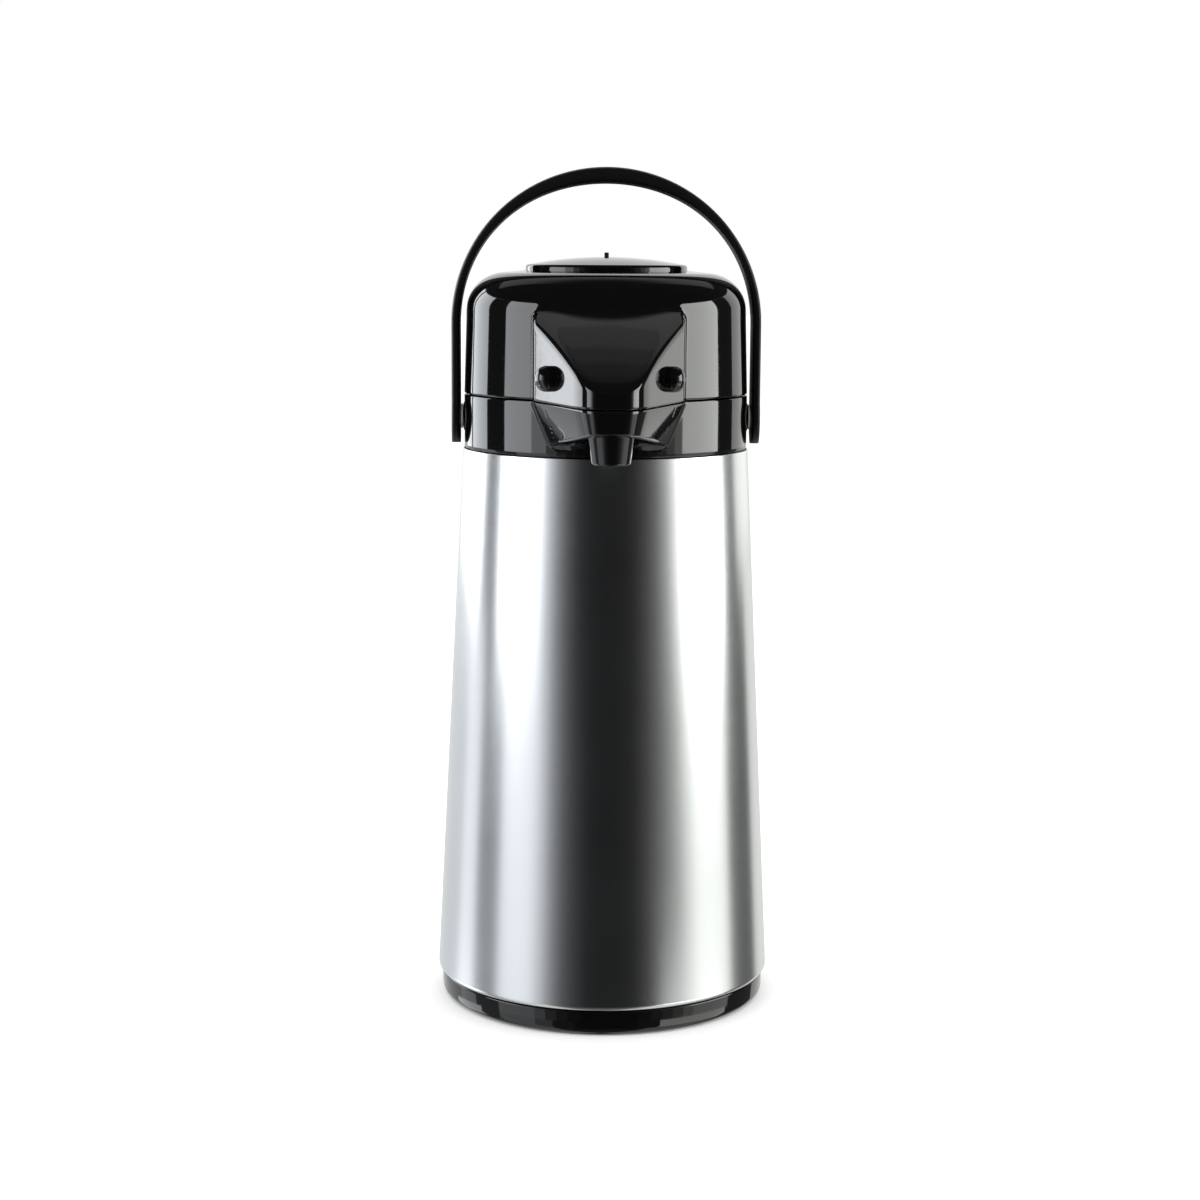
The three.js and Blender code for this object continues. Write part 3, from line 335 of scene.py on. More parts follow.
def turned(profile: Profile, steps: int = 128, closed: bool = True) -> bmesh.types.BMesh:
    """Spin a profile of (radius, height) a full turn about the vertical axis.

    Args:
        profile: The points in millimetres.
        steps: Facets around.
        closed: Whether the last point joins the first.

    Returns:
        The spun mesh.
    """
    mesh = bmesh.new()
    verts = [mesh.verts.new((r, 0.0, z)) for r, z in profile]
    pairs = list(zip(verts, verts[1:]))
    if closed:
        pairs.append((verts[-1], verts[0]))
    edges = [mesh.edges.new(pair) for pair in pairs]
    bmesh.ops.spin(mesh, geom=verts + edges, cent=(0, 0, 0), axis=(0, 0, 1), dvec=(0, 0, 0),
                   angle=2 * math.pi, steps=steps, use_merge=True)
    bmesh.ops.remove_doubles(mesh, verts=mesh.verts, dist=MERGE)
    return mesh


def mapped(
    across: int, along: int, place: Callable[[float, float], tuple[float, float, float]]
) -> bmesh.types.BMesh:
    """Bend a flat grid into a surface.

    Args:
        across: Cells in the first direction.
        along: Cells in the second direction.
        place: Gives a point in millimetres for two shares from 0 to 1.

    Returns:
        The bent mesh, with its meeting edges merged.
    """
    mesh = bmesh.new()
    bmesh.ops.create_grid(mesh, x_segments=across, y_segments=along, size=0.5)
    for vert in mesh.verts:
        vert.co = Vector(place(vert.co.x + 0.5, vert.co.y + 0.5))
    bmesh.ops.remove_doubles(mesh, verts=mesh.verts, dist=MERGE)
    return mesh


def stood(mesh: bmesh.types.BMesh, matrix: Matrix) -> bmesh.types.BMesh:
    """Move a whole mesh by a matrix and return it."""
    bmesh.ops.transform(mesh, matrix=matrix, verts=mesh.verts)
    return mesh


def along_x(x: float, y: float, z: float, sign: float = 1.0) -> Matrix:
    """A frame whose height runs along X from a point, in millimetres."""
    return Matrix.Translation((x, y, z)) @ Matrix.Rotation(sign * math.pi / 2, 4, "Y")


def blended_min(a: float, b: float, radius: float) -> float:
    """The smaller of two distances, rounded where they meet."""
    h = max(0.0, min(1.0, 0.5 + 0.5 * (b - a) / radius))
    return b + (a - b) * h - radius * h * (1 - h)


def blended_max(a: float, b: float, radius: float) -> float:
    """The larger of two distances, filleted where they meet."""
    return -blended_min(-a, -b, radius)


# ------------------------------------------------------------------ spout housing outline


@dataclass
class Beak:
    """The spout housing's outer form as a distance from the axis, in millimetres."""

    reach: float = field(default_factory=lambda: -low("lid_shell").y)
    half: float = 35.5
    crease: float = 66.55
    nose: float = 17.0
    brow: float = 34.0
    nose_corner: float = 9.0
    seam: float = field(default_factory=lambda: low("pump_housing").z - 2.3)
    gap: float = 0.6
    side_height: float = 40.3
    nose_height: float = 10.4
    setback: float = 4.0
    depth: float = 20.4
    rise: float = 0.15
    taper: float = 0.0113
    crown: float = 1.6
    bow: float = 1.7
    nose_edge: float = 4.5
    crown_edge: float = 21.0
    flank_edge: float = 3.0
    keel_edge: float = 9.0

    def cheek_normal(self) -> tuple[float, float]:
        """Outward normal of the right cheek, as sideways and forward shares."""
        run = self.reach - self.nose - self.crease
        angle = math.atan2(run, self.half) - math.acos(self.nose / math.hypot(self.half, run))
        return math.cos(angle), -math.sin(angle)

    def outline(self, turn: float, width: float) -> float:
        """Distance to the plan outline at an angle from the front.

        Args:
            turn: Angle from the spout's direction, in radians.
            width: Share of the full width.

        Returns:
            The distance from the axis, or 0 behind it.
        """
        x, y = abs(math.sin(turn)) / width, math.cos(turn)
        if y <= 0.05:
            return 0.0
        nx, ny = self.cheek_normal()
        cheek = (nx * self.half + ny * self.crease) / (nx * x + ny * y)
        centre = self.reach - self.brow
        size = x * x + y * y
        lead = centre * y
        under = lead * lead - size * (centre * centre - self.brow * self.brow)
        front = (lead + math.sqrt(under)) / size if under > 0 else 4.0 * self.reach
        side = blended_min(self.half / x, cheek, self.flank_edge) if x > 1e-6 else cheek
        return blended_min(side, front, self.nose_corner)

    def above(self, turn: float, z: float) -> float:
        """Distance to the hood above the seam.

        Args:
            turn: Angle from the spout's direction, in radians.
            z: Height in millimetres.

        Returns:
            The distance from the axis, or a small value where the hood doesn't reach.
        """
        plan = self.outline(turn, 1.0)
        if plan <= 0:
            return 0.0
        top = self.seam + self.side_height
        nose_top = self.seam + self.nose_height
        end = self.reach - self.setback
        slope = end - (z - nose_top) * (end - self.crease) / (top - nose_top)
        side = min(1.0, abs(math.sin(turn)) * plan / self.half)
        slope += self.crown * (1 - side * side)
        share = max(0.0, min(1.0, (z - nose_top) / (top - nose_top)))
        slope += self.bow * 4 * share * (1 - share)
        rounding = self.nose_edge + (self.crown_edge - self.nose_edge) * share * share
        return blended_min(plan, slope / max(math.cos(turn), LEAST_LEAD), rounding)

    def below(self, turn: float, z: float) -> float:
        """Distance to the hull below the seam.

        Args:
            turn: Angle from the spout's direction, in radians.
            z: Height in millimetres.

        Returns:
            The distance from the axis, or a small value where the hull doesn't reach.
        """
        rim = self.seam - self.gap
        drop = max(0.0, rim - z)
        plan = self.outline(turn, max(0.2, 1.0 - self.taper * drop))
        if plan <= 0:
            return 0.0
        under = (z - (rim - self.depth)) / self.rise + self.crease
        return blended_min(plan, under / max(math.cos(turn), LEAST_LEAD), self.keel_edge)


def warp(share: float) -> float:
    """Angle from the front for a share of a turn, with finer steps near the front."""
    turn = 2 * share - 1
    bent = EVEN_SHARE * abs(turn) + (1 - EVEN_SHARE) * abs(turn) ** FRONT_POWER
    return math.copysign(math.pi * bent, turn)


def around(turn: float, radius: float, z: float) -> tuple[float, float, float]:
    """The point at an angle from the spout's direction."""
    return (radius * math.sin(turn), -radius * math.cos(turn), z)


@dataclass(frozen=True)
class Row:
    """One ring of a head surface: a height, a round radius, and how the housing joins it."""

    z: float
    radius: float
    inset: float = 0.0
    lift: float = 0.0
    joins: bool = True
    fillet: float = 2.4


def head_surface(rows: list[Row], reach: Callable[[float, float], float],
                 columns: int = 420) -> bmesh.types.BMesh:
    """Build a closed head surface whose rings run round the body and out over the spout.

    Args:
        rows: The rings, in order round the wall's section.
        reach: Distance to the spout housing for an angle and a height.
        columns: Cells round the axis.

    Returns:
        The surface.
    """
    count = len(rows)

    def place(across: float, along: float) -> tuple[float, float, float]:
        """The point for shares round the axis and round the section."""
        row = rows[round(along * count) % count]
        turn = warp(across)
        radius = row.radius
        if row.joins:
            out = reach(turn, row.z + row.lift) - row.inset
            middle = max(0.0, 1.0 - (turn / MIDDLE_TURN) ** 2)
            fillet = SIDE_FILLET + (row.fillet - SIDE_FILLET) * middle
            radius = blended_max(radius, out, fillet)
        return around(turn, radius, row.z)

    return mapped(columns, count, place)


def spread(start: float, end: float, step: float) -> list[float]:
    """Evenly spaced values from start up to but not including end."""
    count = max(1, round(abs(end - start) / step))
    return [start + (end - start) * i / count for i in range(count)]


# ------------------------------------------------------------------ sub-assemblies


@dataclass
class Base:
    """The swivel base ring that the body turns on."""

    wall: float = 3.0
    floor: float = 2.6
    hub_radius: float = 10.0
    hub_top: float = 6.1

    def build(self) -> None:
        """Make the base dish."""
        radius, top = high("swivel_base").x, high("swivel_base").z
        inner = radius - self.wall
        corners = [(AXIS, 0.0), (radius - 2.6, 0.0), (radius, 2.4), (radius, top), (inner, top),
                   (inner, self.floor), (self.hub_radius, self.floor),
                   (self.hub_radius, self.hub_top), (AXIS, self.hub_top)]
        section = soften(corners, [0, 1.2, 2.0, 0.9, 0.5, 1.0, 0.6, 0.6, 0])
        dress(turned(section, 160), "base_dish", GLOSS_BLACK, "base",
              ["swivel_base"])


@dataclass
class Body:
    """The tapered steel body with its rolled lower hem."""

    wall: float = 0.8
    hem: float = 4.0
    top_radius: float = 69.8

    def build(self) -> None:
        """Make the steel skin."""
        bottom, top = low("steel_shell").z, high("steel_shell").z
        radius, upper = high("steel_shell").x, self.top_radius
        widest = bottom + 1.6
        corners = [(radius - 1 - self.hem, bottom), (radius - 1.0, bottom), (radius, widest),
                   (upper, top), (upper - self.wall, top), (radius - self.wall, widest + 0.3),
                   (radius - self.wall - 0.6, bottom + self.wall),
                   (radius - 1 - self.hem, bottom + self.wall)]
        section = soften(corners, [0.2, 1.0, 1.4, 0.35, 0.35, 0.6, 0.3, 0.2])
        dress(turned(section, 192), "steel_body", BRUSHED_STEEL, "pot",
              ["steel_shell"])


@dataclass
class Collar:
    """The black collar, the lower half of the spout housing, its deck and hinge lugs."""

    beak: Beak = field(default_factory=Beak)
    radius: float = 69.1
    wall: float = 2.8
    bottom: float = 274.3
    lug_from: float = 8.0
    lug_width: float = 6.0
    boss_depth: float = 3.6
    boss_height: float = 289.0

    def rows(self) -> list[Row]:
        """The rings of the collar's wall, outside upwards and then inside downwards."""
        top = self.beak.seam - self.beak.gap
        heights = spread(276.0, 279.4, 1.0) + spread(279.4, 291.0, 0.3) + spread(291, top - 0.5, 1)
        made = [Row(self.bottom, self.radius - 0.5), Row(self.bottom + 0.15, self.radius - 0.15),
                Row(self.bottom + 0.5, self.radius)]
        made += [Row(z, self.radius) for z in heights]
        made += [Row(top - 0.5, self.radius), Row(top - 0.15, self.radius - 0.15, 0.15),
                 Row(top, self.radius - 0.5, 0.5)]
        inner = self.radius - self.wall
        made += [Row(top, inner, self.wall, -self.wall)]
        made += [Row(z, inner, self.wall, -self.wall) for z in spread(top - 1, 282.0, 0.8)]
        made += [Row(280.0, inner), Row(self.bottom, inner)]
        return made

    def build(self) -> None:
        """Make the collar's skin, deck, spigot and lugs."""
        skin = head_surface(self.rows(), self.beak.below)
        dress(skin, "collar_skin", GLOSS_BLACK, "pot", ["collar"])
        inner = self.radius - self.wall
        deck = [(38.5, 268.3), (41.5, 268.3), (41.5, 280.0), (inner - 0.1, 280.0),
                (inner - 0.1, 266.0), (68.4, 266.0), (68.4, 273.8), (inner + 0.4, 273.8),
                (inner + 0.4, 282.5), (41.5, 282.5), (41.5, 290.8), (38.5, 290.8)]
        section = soften(deck, [0.4, 0.4, 1.0, 0.6, 0.3, 0.3, 0.3, 0.3, 0.6, 1.2, 0.6, 0.6])
        dress(turned(section, 144), "collar_deck", GLOSS_BLACK, "pot")
        for side in (-1, 1):
            self._lug(side)
            self._boss(side)

    def _lug(self, side: int) -> None:
        """Make one hinge lug at the back.

        Args:
            side: -1 on the left, 1 on the right.
        """
        centre = side * (self.lug_from + self.lug_width / 2)
        name = "hinge_lug_left" if side < 0 else "hinge_lug_right"
        mesh = hinge_block(centre, self.lug_width, self.radius + HINGE_OFFSET,
                           self.beak.seam - self.beak.gap / 2, below=True)
        dress(mesh, name, GLOSS_BLACK, "pot")

    def _boss(self, side: int) -> None:
        """Make one round handle boss.

        Args:
            side: -1 on the left, 1 on the right.
        """
        name = "handle_boss_left" if side < 0 else "handle_boss_right"
        depth = self.boss_depth
        section = soften([(3.3, 0.0), (7.0, 0.0), (7.0, depth), (3.3, depth)], [0, 0, 0.5, 0.3])
        root = side * (self.radius + 0.4 - depth)
        mesh = stood(turned(section, 48), along_x(root, 0.0, self.boss_height, side))
        dress(mesh, name, GLOSS_BLACK, "pot")


def hinge_block(centre: float, width: float, y: float, z: float, below: bool) -> bmesh.types.BMesh:
    """A hinge barrel with the web that joins it to the head.

    Args:
        centre: Middle of the barrel along X.
        width: Length of the barrel.
        y: Hinge axis, behind the body's axis.
        z: Hinge axis height.
        below: Whether the web runs down the collar rather than up the lid.

    Returns:
        The block.
    """
    mesh = bmesh.new()
    bmesh.ops.create_circle(mesh, cap_ends=True, segments=48, radius=HINGE_RADIUS)
    bmesh.ops.rotate(mesh, matrix=Matrix.Rotation(math.pi / 2, 3, "Y"), verts=mesh.verts)
    drop = -9.0 if below else 6.0
    for vert in mesh.verts:
        front = vert.co.y < 0
        toward = (vert.co.z < 0) == below
        if front and toward:
            web = drop * abs(vert.co.y) / HINGE_RADIUS
            vert.co.z = min(vert.co.z, web) if below else max(vert.co.z, web)
        if front:
            vert.co.y *= 1.25
    faces = list(mesh.faces)
    extruded = bmesh.ops.extrude_face_region(mesh, geom=faces)["geom"]
    moved = [g for g in extruded if isinstance(g, bmesh.types.BMVert)]
    bmesh.ops.translate(mesh, vec=(width, 0, 0), verts=moved)
    bmesh.ops.translate(mesh, vec=(centre - width / 2, y, z), verts=mesh.verts)
    return mesh


@dataclass
class Spout:
    """The short pouring nozzle under the spout housing."""

    setback: float = 14.0
    top_radius: float = 10.15
    end_radius: float = 8.6
    top: float = 290.0

    def build(self) -> None:
        """Make the nozzle."""
        bottom = low("spout_nozzle").z
        reach = -low("lid_shell").y - self.setback
        corners = [(4.5, bottom + 5), (6.2, bottom), (self.end_radius, bottom),
                   (self.top_radius + 0.5, self.top), (4.5, self.top)]
        section = soften(corners, [0.6, 0.7, 1.0, 0.2, 0.2])
        mesh = stood(turned(section, 96), Matrix.Translation((0, -reach, 0)))
        dress(mesh, "pouring_nozzle", GLOSS_BLACK, "pot", ["spout_nozzle"])


@dataclass
class Lid:
    """The domed lid with the hood over the spout and the well for the button."""

    beak: Beak = field(default_factory=Beak)
    radius: float = 69.1
    wall: float = 2.4
    side_taper: float = 1.1
    corner_width: float = 20.0
    corner_height: float = 18.0
    crown: float = 0.9
    well: float = 40.3
    guide_depth: float = 21.0
    knuckle: float = 15.4
    post_bottom: float = 305.9
    post_top: float = 352.0
    blend_from: float = 26.0
    blend_over: float = 14.0
    blend_low: float = 2.2
    blend_rise: float = 6.0

    def side(self, z: float) -> float:
        """Radius of the lid's side wall at a height."""
        share = (z - self.beak.seam) / self.beak.side_height
        return self.radius - self.side_taper * share

    def blend(self, z: float) -> float:
        """Fillet between the hood and the dome at a height, softer towards the top."""
        share = (z - self.beak.seam - self.blend_from) / self.blend_over
        share = max(0.0, min(1.0, share))
        return self.blend_low + self.blend_rise * share * share * (3 - 2 * share)

    def rows(self) -> list[Row]:
        """The rings of the lid's wall, outside upwards and then inside downwards."""
        seam = self.beak.seam
        hood = seam + self.beak.side_height
        top = hood + self.corner_height
        made = [Row(seam, self.radius - 0.5, 0.5), Row(seam + 0.15, self.radius - 0.15, 0.15),
                Row(seam + 0.5, self.radius)]
        made += [Row(z, self.side(z), fillet=self.blend(z)) for z in spread(seam + 1.2, hood, 0.6)]
        start = self.radius - self.side_taper
        for step in range(DOME_STEPS + 1):
            angle = math.radians(90 * step / DOME_STEPS)
            made.append(Row(hood + self.corner_height * math.sin(angle),
                            start - self.corner_width * (1 - math.cos(angle)),
                            joins=step < 8, fillet=self.blend(hood)))
        rim = self.well + 0.9
        made += [Row(top + self.crown * 0.5, 44.5, joins=False),
                 Row(top + self.crown * 0.8, rim + 0.6, joins=False),
                 Row(top + self.crown * 0.7, rim - 0.3, joins=False),
                 Row(top + self.crown * 0.2, self.well + 0.15, joins=False),
                 Row(top - 0.6, self.well, joins=False)]
        low_guide = top - self.guide_depth
        made += [Row(low_guide, self.well, joins=False),
                 Row(low_guide, self.well + 4.2, joins=False),
                 Row(low_guide + 2.4, self.well + 4.2, joins=False),
                 Row(low_guide + 4.4, self.well + 2.0, joins=False),
                 Row(top - self.wall, self.well + 2.0, joins=False)]
        for step in range(9):
            angle = math.radians(90 - 90 * step / 8)
            made.append(Row(hood + (self.corner_height - self.wall) * math.sin(angle),
                            start - self.corner_width
                            + (self.corner_width - self.wall) * math.cos(angle), joins=False))
        made += [Row(z, self.side(z) - self.wall, self.wall, 2.2)
                 for z in spread(hood - 1.5, seam, 1.8)]
        made += [Row(seam, self.radius - self.wall, self.wall, 2.2)]
        return made

    def build(self) -> None:
        """Make the lid's skin, its hinge knuckle and its screw posts."""
        skin = head_surface(self.rows(), self.beak.above)
        dress(skin, "lid_skin", GLOSS_BLACK, "lid", ["lid_shell"])
        knuckle = hinge_block(0.0, self.knuckle, self.radius + HINGE_OFFSET,
                              self.beak.seam - self.beak.gap / 2, below=False)
        dress(knuckle, "lid_knuckle", GLOSS_BLACK, "lid")
        for i in (1, 2, 3):
            centre = (low(f"lid_screw_{i}") + high(f"lid_screw_{i}")) / 2
            post = [(1.8, self.post_bottom), (4.2, self.post_bottom), (4.2, self.post_top),
                    (1.8, self.post_top)]
            mesh = stood(turned(soften(post, [0.3, 0.5, 0, 0]), 40),
                         Matrix.Translation((centre.x, centre.y, 0)))
            dress(mesh, f"lid_screw_post_{i}", GLOSS_BLACK, "lid")


@dataclass
class Button:
    """The wide push button with its small index pip."""

    radius: float = 39.3
    wall: float = 2.1
    crown: float = 3.6
    flange: float = 41.8
    stem: float = 8.0

    def build(self) -> None:
        """Make the button and its pip."""
        bottom = low("push_button").z
        rim = high("push_button").z - self.crown
        inner = self.radius - self.wall
        section = [(AXIS, bottom + 6.1), (self.stem, bottom + 6.1), (self.stem, rim - 5.8),
                   (inner, rim - 5.8), (inner, bottom), (self.flange, bottom),
                   (self.flange, bottom + 2.5),
                   (self.radius, bottom + 2.5), (self.radius, rim - 1.5),
                   (self.radius - 0.12, rim - 0.95), (self.radius - 0.5, rim - 0.45),
                   (self.radius - 1.1, rim - 0.12), (self.radius - 1.9, rim)]
        outer = self.radius - 1.9
        for step in range(1, DOME_STEPS + 1):
            share = 1 - step / DOME_STEPS
            section.append((max(AXIS, outer * share), rim + self.crown * (1 - share * share)))
        dress(turned(section, 160), "button_cap", GLOSS_BLACK, "button",
              ["push_button"])
        top = high("button_index_pip").z
        pip = soften([(AXIS, top - 4), (1.1, top - 4), (1.1, top), (AXIS, top)], [0, 0, 0.8, 0])
        dress(turned(pip, 40), "button_pip", SATIN_BLACK, "button",
              ["button_index_pip"])


@dataclass
class Pump:
    """The bellows with its return spring, and the plastic parts it works in."""

    folds: int = 4
    fold_depth: float = 7.0
    wall: float = 1.2
    turns: float = 4.5
    wire: float = 0.9
    travel: float = 14.0

    def build(self) -> None:
        """Make the bellows, its spring and the turned parts round the pump, all riding on the lid.
        """
        bottom, top = low("bellows").z, high("bellows").z
        outer = high("bellows").x
        inner = outer - self.fold_depth
        middle, swing = (outer + inner) / 2, (outer - inner) / 2 - 0.3
        steps = self.folds * 12
        outside, inside = [], []
        for i in range(steps + 1):
            z = bottom + (top - bottom) * i / steps
            wave = -math.cos(2 * math.pi * self.folds * i / steps)
            radius = middle + swing * math.copysign(abs(wave) ** 0.8, wave)
            outside.append((radius, z))
            inside.append((radius - self.wall, z))
        bellows = dress(turned(outside + inside[::-1], 96), "pump_bellows", GREY_RUBBER, "lid",
                        ["bellows"])
        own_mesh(bellows)
        wire = self.wire
        coil = coil_spring(high("bellows_spring").x - wire, wire, bottom + wire, top - wire,
                           self.turns)
        spring = dress(coil, "pump_spring", PLAIN_STEEL, "lid", ["bellows_spring"])
        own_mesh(spring)
        self._round_parts()

    def _round_parts(self) -> None:
        """Make the smooth turned parts round the pump."""
        base = low("pump_housing").z
        lock_low, lock_high = low("lock_ring").z, high("lock_ring").z
        lock_out = high("lock_ring").x
        housing = [(AXIS, base), (61.5, base), (61.5, base + 2.5), (49.6, base + 2.5),
                   (49.6, lock_high), (47.6, lock_high), (47.6, lock_low - 0.3),
                   (43.6, lock_low - 0.3), (43.6, lock_low - 3.0), (47.6, lock_low - 5.5),
                   (47.6, base + 2.5), (AXIS, base + 2.5)]
        section = soften(housing, [0, 0.8, 0.8, 0.8, 0.5, 0.4, 0.3, 0.4, 0.4, 0.5, 0.8, 0])
        dress(turned(section, 128), "pump_cup", NATURAL_PLASTIC, "lid",
              ["pump_housing"])
        ring = [(42.6, lock_low), (lock_out, lock_low), (lock_out, lock_high), (42.6, lock_high)]
        dress(turned(soften(ring, [0.5] * 4), 128), "twist_lock_ring", SATIN_BLACK, "lock",
              ["lock_ring"])


def coil_spring(radius: float, wire: float, bottom: float, top: float,
                turns: float) -> bmesh.types.BMesh:
    """A coil spring about the vertical axis, closed at both ends.

    Args:
        radius: Radius of the wire's centre line.
        wire: Radius of the wire.
        bottom: Lowest point of the centre line.
        top: Highest point of the centre line.
        turns: Number of turns.

    Returns:
        The spring.
    """

    def place(along: float, about: float) -> tuple[float, float, float]:
        """The point for shares along the wire and about its section."""
        angle, around_wire = 2 * math.pi * turns * along, 2 * math.pi * about
        out = radius + wire * math.cos(around_wire)
        rise = bottom + (top - bottom) * along + wire * math.sin(around_wire)
        return out * math.cos(angle), out * math.sin(angle), rise

    mesh = mapped(int(32 * turns), 12, place)
    bmesh.ops.holes_fill(mesh, edges=[e for e in mesh.edges if e.is_boundary], sides=0)
    return mesh


@dataclass
class Release:
    """One lid release button on a cheek of the spout housing, with its spring."""

    side: int
    beak: Beak = field(default_factory=Beak)
    radius: float = 5.9
    reach: float = 6.6
    from_crease: float = 22.4
    height: float = 11.6
    dome: float = 5.0
    seat: float = -16.0
    coil_top: float = -9.8
    coil_radius: float = 3.2
    wire: float = 0.5
    turns: float = 4.5
    travel: float = 3.0

    def matrix(self) -> Matrix:
        """The button's frame: its height axis runs out through the cheek."""
        nx, ny = self.beak.cheek_normal()
        x = self.side * (self.beak.half - ny * self.from_crease)
        y = -(self.beak.crease + nx * self.from_crease)
        z = self.beak.seam - self.beak.gap / 2 + self.height
        out = Vector((self.side * nx, -ny, 0.0))
        turn = Vector((0, 0, 1)).rotation_difference(out).to_matrix().to_4x4()
        return Matrix.Translation((x, y, z)) @ turn

    def build(self) -> None:
        """Make the button and its spring."""
        name = "left" if self.side < 0 else "right"
        body = f"release_{name}"
        straight = self.reach - self.dome
        section = [(AXIS, -6.2), (5.1, -6.2), (7.2, -5.5), (7.4, -4.9), (7.4, -2.9),
                   (self.radius, -2.9), (self.radius, straight)]
        for step in range(1, 13):
            angle = math.radians(90 * step / 12)
            section.append((max(AXIS, self.radius * math.cos(angle) ** 0.8),
                            straight + self.dome * math.sin(angle)))
        knob = stood(turned(section, 72), self.matrix())
        dress(knob, f"release_knob_{name}", GLOSS_BLACK, body,
              [f"release_button_{name}"])
        start, end = self.seat + 0.8, self.coil_top
        coil = stood(coil_spring(self.coil_radius, self.wire, start, end, self.turns),
                     self.matrix())
        spring = dress(coil, f"release_coil_{name}", PLAIN_STEEL, "lid",
                       [f"release_spring_{name}"])
        frame_matrix = self.matrix()
        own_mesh(spring)


@dataclass
class Handle:
    """The arched carry handle with a round eye at each end."""

    inner: float = 70.9
    outer: float = 75.3
    centre: float = 334.0
    pivot: float = 289.0
    width: float = 22.0
    eye: float = 13.0
    crown: float = 7.9
    flatness: float = 4.0
    leg_share: float = 0.3

    def half_width(self, z: float) -> float:
        """Half the strap's width at a height on a leg."""
        if z >= self.pivot + math.sqrt(self.eye ** 2 - (self.width / 2) ** 2):
            return self.width / 2
        return max(AXIS, math.sqrt(max(0.0, self.eye ** 2 - (z - self.pivot) ** 2)))

    def build(self) -> None:
        """Make the handle as one bent strap."""
        leg = self.outer - self.inner
        foot = self.pivot - self.eye
        leg_share = self.leg_share

        def station(share: float) -> tuple[float, float, float, float, float]:
            """Outer edge point, inward direction, thickness and half width at a share."""
            side = -1.0 if share < 0.5 else 1.0
            local = min(share, 1 - share)
            if local < leg_share:
                ramp = local / leg_share
                rise = (1 - math.cos(math.pi * ramp)) / 2 if ramp < 0.5 else ramp
                z = foot + (self.centre - foot) * rise
                return side * self.outer, z, 0.0, leg, self.half_width(z)
            angle = math.pi / 2 * (local - leg_share) / (0.5 - leg_share)
            thick = leg + (self.crown - leg) * math.sin(angle) ** 4
            return (side * self.outer * math.cos(angle), self.centre + self.outer * math.sin(angle),
                    angle, thick, self.width / 2)

        def place(along: float, about: float) -> tuple[float, float, float]:
            """The point for shares along the strap and about its section."""
            x, z, angle, thick, half = station(along)
            side = -1.0 if along < 0.5 else 1.0
            turn = 2 * math.pi * about
            c, s = math.cos(turn), math.sin(turn)
            flat = math.copysign(abs(c) ** (2 / self.flatness), c)
            wide = math.copysign(abs(s) ** (2 / self.flatness), s)
            deep = thick / 2 * (1 - flat)
            return (x - side * math.cos(angle) * deep, half * wide, z - math.sin(angle) * deep)

        mesh = mapped(240, 56, place)
        bmesh.ops.holes_fill(mesh, edges=[e for e in mesh.edges if e.is_boundary], sides=0)
        dress(mesh, "carry_strap", SATIN_BLACK, "carry_handle", ["handle"])


class CarriedOver:
    """The nodes of the frame that keep their own shape and get a finish."""

    def build(self) -> None:
        """Give every node its slot's finish."""
        for part in frame["record"]["subparts"]:
            node = frame["nodes"][part["node"]]
            finish = SLOT_FINISH[part["material_slot"]]
            node.data.materials.clear()
            node.data.materials.append(finish.build())
            LOG.info("%s keeps its shape, in %s", part["node"], finish.name)


# ------------------------------------------------------------------ studio


Stops = tuple[tuple[float, float], ...]
Colour = tuple[float, float, float, float]

BLACK: Colour = (0.0, 0.0, 0.0, 1.0)
WHITE: Colour = (1.0, 1.0, 1.0, 1.0)
PALE: Colour = (0.93, 0.93, 0.93, 1.0)
COOL: Colour = (0.93, 0.965, 1.0, 1.0)
WARM: Colour = (0.98, 1.0, 0.955, 1.0)
ABOVE = 1.65
BELOW = -1.2


@dataclass(frozen=True)
class Wrap:
    """A ring of upright cards round the object, seen only in reflections.

    Each stop is an angle from the front and the brightness from there to the next stop.
    """

    bottom: float
    top: float
    stops: Stops


WRAPS = (
    Wrap(0.08, 1.15, (
        (-152, 4.0), (-138.5, 0.1), (-136, 4.4), (-111, 0.05), (-89, 4.8), (-62, 2.4), (-49, 0.7),
        (-40, 0.22), (-32, 0.07), (-24, 0.012), (24, 0.04), (32, 0.1), (40, 0.3), (48, 0.8),
        (55, 1.6), (62, 7.0), (100, 0.05), (121, 1.4), (152, 0.0))),
    Wrap(-0.62, 0.08, (
        (-152, 0.9), (-120, 1.4), (-101, 0.3), (-78, 1.4), (-49, 0.9), (-41, 0.32), (-33, 0.12),
        (-25, 0.05), (-16, 0.015), (24, 0.05), (33, 0.13), (41, 0.26), (49, 0.5), (57, 1.0),
        (65, 1.5), (98, 0.12), (132, 1.0), (152, 0.0))),
    Wrap(BELOW, -0.62, (
        (-152, 0.9), (-126, 3.0), (-96, 0.3), (-78, 1.2), (-49, 0.6), (-36, 0.1), (-20, 0.02),
        (24, 0.08), (40, 2.6), (96, 0.12), (132, 1.0), (152, 0.0))),
    Wrap(BELOW, 0.3, ((152, 0.9), (170, 0.05), (190, 0.9), (208, 0.0))),
    Wrap(1.15, ABOVE, ((-152, 0.03), (152, 0.0))),
)


@dataclass(frozen=True)
class Plate:
    """A flat ring sector above or below the object, seen only in reflections."""

    start: float
    end: float
    glow: float
    height: float = ABOVE
    inner: float = 0.0
    outer: float = 1.9


